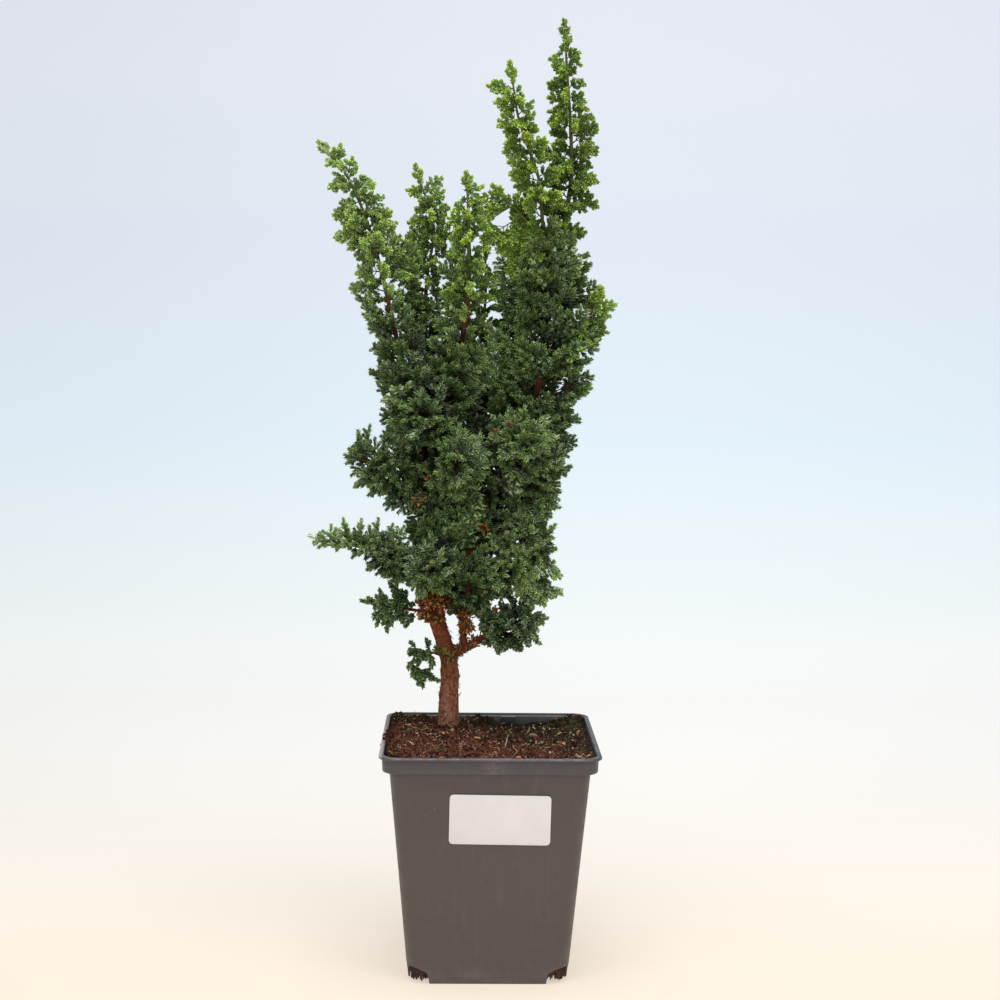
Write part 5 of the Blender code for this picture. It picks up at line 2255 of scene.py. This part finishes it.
@dataclass
class Litter:
    """What has fallen on the soil, and the moss that grows there."""

    soil: Soil
    shoots: Shoots
    seed: int = 31

    def lying(self, x: float, y: float, above: float = 0.6) -> Vector:
        """A place just above the soil."""
        return Vector((x, y, self.soil.crumbled(x, y) + above))

    def build_fallen(self, node: str, place: Pair, turn: float, count: int, size: float,
                     finish: Material, rng: Random) -> None:
        """A fallen dead sprig: shoots along a short twig that lies flat.

        Args:
            node: The CAD node that it stands for.
            place: Where its middle lies.
            turn: The way it points, in radians.
            count: How many shoots it has.
            size: Its size, 1 being that of living shoots.
            finish: Its finish.
            rng: The source of its irregularity.
        """
        bm = bmesh.new()
        along = Vector((cos(turn), sin(turn), 0))
        for i in range(count):
            share = i / max(1, count - 1) - 0.5
            spot = Vector(place) + along.xy * share * 4.5 * size
            side = Matrix.Rotation(rng.choice((-1, 1)) * rng.uniform(0.4, 0.9), 3, "Z") @ along
            way = (side + UP * rng.uniform(0.0, 0.3)).normalized()
            plant_copy(bm, rng.choice(self.shoots.full),
                       aim(self.lying(spot.x, spot.y), way) @ Matrix.Scale(size * 0.62, 4),
                       age=rng.random())
        settle(as_object(node + "_sprig", bm, finish), "dead_leaf", node)

    def build_chip(self, place: Pair, finish: Material) -> None:
        """A curled chip of bark.

        Args:
            place: Where it lies.
            finish: Its finish.
        """
        x, y = place
        bm = bmesh.new()
        bmesh.ops.create_grid(bm, x_segments=8, y_segments=4, size=1.0)
        turn = Matrix.Rotation(0.2, 3, "Z")
        for vert in bm.verts:
            vert.co.x *= 2.4 * (1 - 0.12 * abs(vert.co.y))
            vert.co.y *= 1.1 + 0.2 * sin(vert.co.x * 1.4)
            lift = 0.16 * vert.co.y ** 2 + 0.05 * vert.co.x ** 2
            spot = turn @ vert.co
            vert.co = Vector((x + spot.x, y + spot.y, self.soil.height(x, y) + 1.0 + lift))
        bmesh.ops.solidify(bm, geom=bm.faces, thickness=0.45)
        face_out(bm)
        settle(as_object("bark_chip_curl", bm, finish, 50), "bark", "bark_chip")

    def build_straw(self, finish: Material) -> None:
        """A length of straw that lies across the soil.

        Args:
            finish: Its finish.
        """
        route = [self.lying(x, y, 1.0) for x, y in ((9, 17), (10.5, 11), (10, 4), (9.4, -3), (8.6, -10),
                                                     (8, -18))]
        bm = bmesh.new()
        add_tube(bm, route, [0.22, 0.26, 0.28, 0.27, 0.24, 0.16], 8)
        face_out(bm)
        settle(as_object("straw_length", bm, finish, 50), "straw", "straw_stem")

    def build_moss(self, node: str, place: Pair, size: Pair, count: int,
                   finish: Material, rng: Random) -> None:
        """A cushion of moss made of many small leafy tips.

        Args:
            node: The CAD node that it stands for.
            place: Its middle.
            size: How far it reaches to the sides and to the front and back.
            count: How many tips it has.
            finish: Its finish.
            rng: The source of its irregularity.
        """
        bm = bmesh.new()
        reach = bm.verts.layers.float.new("reach")
        for _ in range(count):
            radius, angle = rng.random() ** 0.6, rng.uniform(0, tau)
            spot = self.lying(place[0] + size[0] * radius * cos(angle),
                              place[1] + size[1] * radius * sin(angle), -0.2)
            way = leaning(rng, 0.5).normalized()
            tall = rng.uniform(1.0, 2.4) * (1.15 - radius * 0.6)
            for vert in add_cone(bm, 3, rng.uniform(0.22, 0.4), 0.05, tall, aim(spot, way)):
                vert[reach] = 1.0 if (vert.co - spot).dot(way) > tall / 2 else 0.0
        settle(as_object(node + "_cushion", bm, finish), "moss", node)

    def build(self, dead: Material, bark: Material, straw: Material, moss: Material) -> None:
        """Lay everything out.

        Args:
            dead: The dead sprigs' finish.
            bark: The chip's finish.
            straw: The straw's finish.
            moss: The moss's finish.
        """
        rng = Random(self.seed)
        self.build_fallen("fallen_spray_back", (35, 46), 0.4, 6, 0.8, dead, rng)
        self.build_fallen("fallen_spray_right", (46, 11), 1.2, 5, 0.75, dead, rng)
        self.build_fallen("fallen_leaf_middle", (13, 31), 2.0, 3, 0.6, dead, rng)
        self.build_chip((37, -8), bark)
        self.build_straw(straw)
        self.build_moss("moss_right", (45, 28), (6.0, 9.5), 200, moss, rng)
        self.build_moss("moss_left", (-45, 34), (6.0, 7.0), 150, moss, rng)
        self.build_moss("moss_front", (-24, -30), (8.5, 6.0), 90, moss, rng)


# Studio


@dataclass
class Studio:
    """The pale sheet, the soft lamps and the camera."""

    camera_place: tuple[float, float, float] = (-16.68, -876.08, 314.28)
    camera_right: tuple[float, float, float] = (0.9997, -0.0230, 0.0114)
    camera_up: tuple[float, float, float] = (-0.0094, 0.0847, 0.9964)
    focal_pixels: float = 1716.4
    frame_pixels: float = 1000.0
    sensor: float = 36.0
    sheet_half_width: float = 2600.0
    sheet_front: float = -2600.0
    sheet_back: float = 1500.0
    sheet_curve: float = 700.0
    sheet_top: float = 3200.0
    crown: tuple = (-10, 0, 290)
    room_tint: Colour = (0.93, 0.96, 1.0)
    room_strength: float = 0.13

    def build_sheet(self, finish: Material) -> None:
        """One sheet that runs along the floor and curves up behind.

        Args:
            finish: Its finish.
        """
        bm = bmesh.new()
        back, curve = self.sheet_back, self.sheet_curve
        profile = [(self.sheet_front, 0), (back - curve, 0)]
        steps = 16
        for i in range(1, steps + 1):
            angle = pi / 2 * i / steps
            profile.append((back - curve * (1 - sin(angle)), curve * (1 - cos(angle))))
        profile.append((back, self.sheet_top))
        verts = [bm.verts.new((-self.sheet_half_width, y, z)) for y, z in profile]
        edges = [bm.edges.new(pair) for pair in zip(verts, verts[1:])]
        made = bmesh.ops.extrude_edge_only(bm, edges=edges)["geom"]
        moved = [g for g in made if isinstance(g, BMVert)]
        bmesh.ops.translate(bm, vec=(2 * self.sheet_half_width, 0, 0), verts=moved)
        face_out(bm)
        as_object("studio_sheet", bm, finish, 60)

    def add_lamp(self, name: str, place: tuple, size: tuple, power: float) -> None:
        """A soft box that points at the middle of the crown.

        Args:
            name: Its name.
            place: Where it hangs, in pot millimetres.
            size: Its width and height in millimetres.
            power: Its power in watts.
        """
        lamp = bpy.data.lights.new(name, "AREA")
        lamp.shape = "RECTANGLE"
        lamp.size, lamp.size_y = (side * MM for side in size)
        lamp.energy = power
        made = link(name, lamp)
        start, end = TO_ROW @ Vector(place), TO_ROW @ Vector(self.crown)
        made.location = start
        made.rotation_mode = "QUATERNION"
        made.rotation_quaternion = (end - start).to_track_quat("-Z", "Y")

    def build_lamps(self) -> None:
        """Light from above and both sides, with a little from the front."""
        self.add_lamp("top_box", (0, -250, 1250), (900, 800), 17)
        self.add_lamp("left_box", (-1000, -800, 750), (700, 900), 5)
        self.add_lamp("right_box", (1000, -800, 750), (700, 900), 5)
        self.add_lamp("front_box", (0, -1500, 800), (900, 700), 4.2)
        world = bpy.data.worlds.new("room")
        world.use_nodes = True
        background = world.node_tree.nodes["Background"]
        background.inputs["Color"].default_value = (*self.room_tint, 1)
        background.inputs["Strength"].default_value = self.room_strength
        bpy.context.scene.world = world

    def build_camera(self) -> None:
        """The camera at the photograph's viewpoint."""
        data = bpy.data.cameras.new("camera")
        data.sensor_width = self.sensor
        data.lens = self.focal_pixels / self.frame_pixels * self.sensor
        data.clip_start, data.clip_end = 0.05, 20
        made = link("camera", data)
        right, up = Vector(self.camera_right), Vector(self.camera_up)
        turn = Matrix((right, up, right.cross(up))).transposed()
        made.rotation_mode = "QUATERNION"
        made.rotation_quaternion = turn.to_quaternion()
        made.location = TO_ROW @ Vector(self.camera_place)
        bpy.context.scene.camera = made

    def build(self, finish: Material) -> None:
        """Set up the studio.

        Args:
            finish: The sheet's finish.
        """
        self.build_sheet(finish)
        self.build_lamps()
        self.build_camera()
        bpy.context.scene.view_settings.view_transform = "Standard"


def main() -> None:
    """Build the plant from the pot up, then the studio."""
    logging.basicConfig(level=logging.INFO, format="%(message)s")
    plastic = MouldedPlastic().material()
    bark = Bark().material()
    dead = DeadLeaf().material()
    straw = DryStem().material()
    pot = Pot()
    pot.build(plastic)
    Label().build(pot, PaperCard().material())
    soil = Soil(pot)
    peat = Peat().material()
    soil.build(peat)
    soil.build_crumbs(peat)
    fibre = DryStem("root_fibre", pale=(0.24, 0.085, 0.045), brown=(0.05, 0.015, 0.008)).material()
    soil.build_fibres(fibre, "soil_fibres", 1900, (1.5, 5.5), (0.09, 0.22), 41)
    soil.build_fibres(straw, "straw_bits", 90, (1.5, 6), (0.1, 0.24), 42)
    soil.build_bits(SoilBits().material())
    root = DryStem("root_end", pale=(0.06, 0.02, 0.012), brown=(0.014, 0.005, 0.004)).material()
    soil.build_root_ends(root)
    soil.build_grains(Mineral().material())
    shoots = Shoots()
    shoots.build()
    Litter(soil, shoots).build(dead, bark, straw, Moss().material())
    crown = tree_of(mass.node for mass in MASSES)
    Wood().build(bark, crown)
    twig_bark = Bark(red=(0.06, 0.035, 0.015), deep=(0.025, 0.015, 0.008), orange=(0.11, 0.055, 0.025),
                     fleck=(0.1, 0.08, 0.04), green=(0.13, 0.2, 0.035), greening=(150, 215),
                     name="twig_bark").material()
    young = Leaf("leaf_young", old=(0.03, 0.075, 0.012), old_tip=(0.13, 0.25, 0.033),
                 young=(0.15, 0.28, 0.03), young_tip=(0.52, 0.67, 0.07), rust=(0.3, 0.12, 0.03)).material()
    Foliage(shoots, crown).build(Leaf().material(), young, twig_bark)
    DeadTufts(shoots).build(dead)
    Studio().build(StudioSheet().material())


if __name__ == "__main__":
    main()
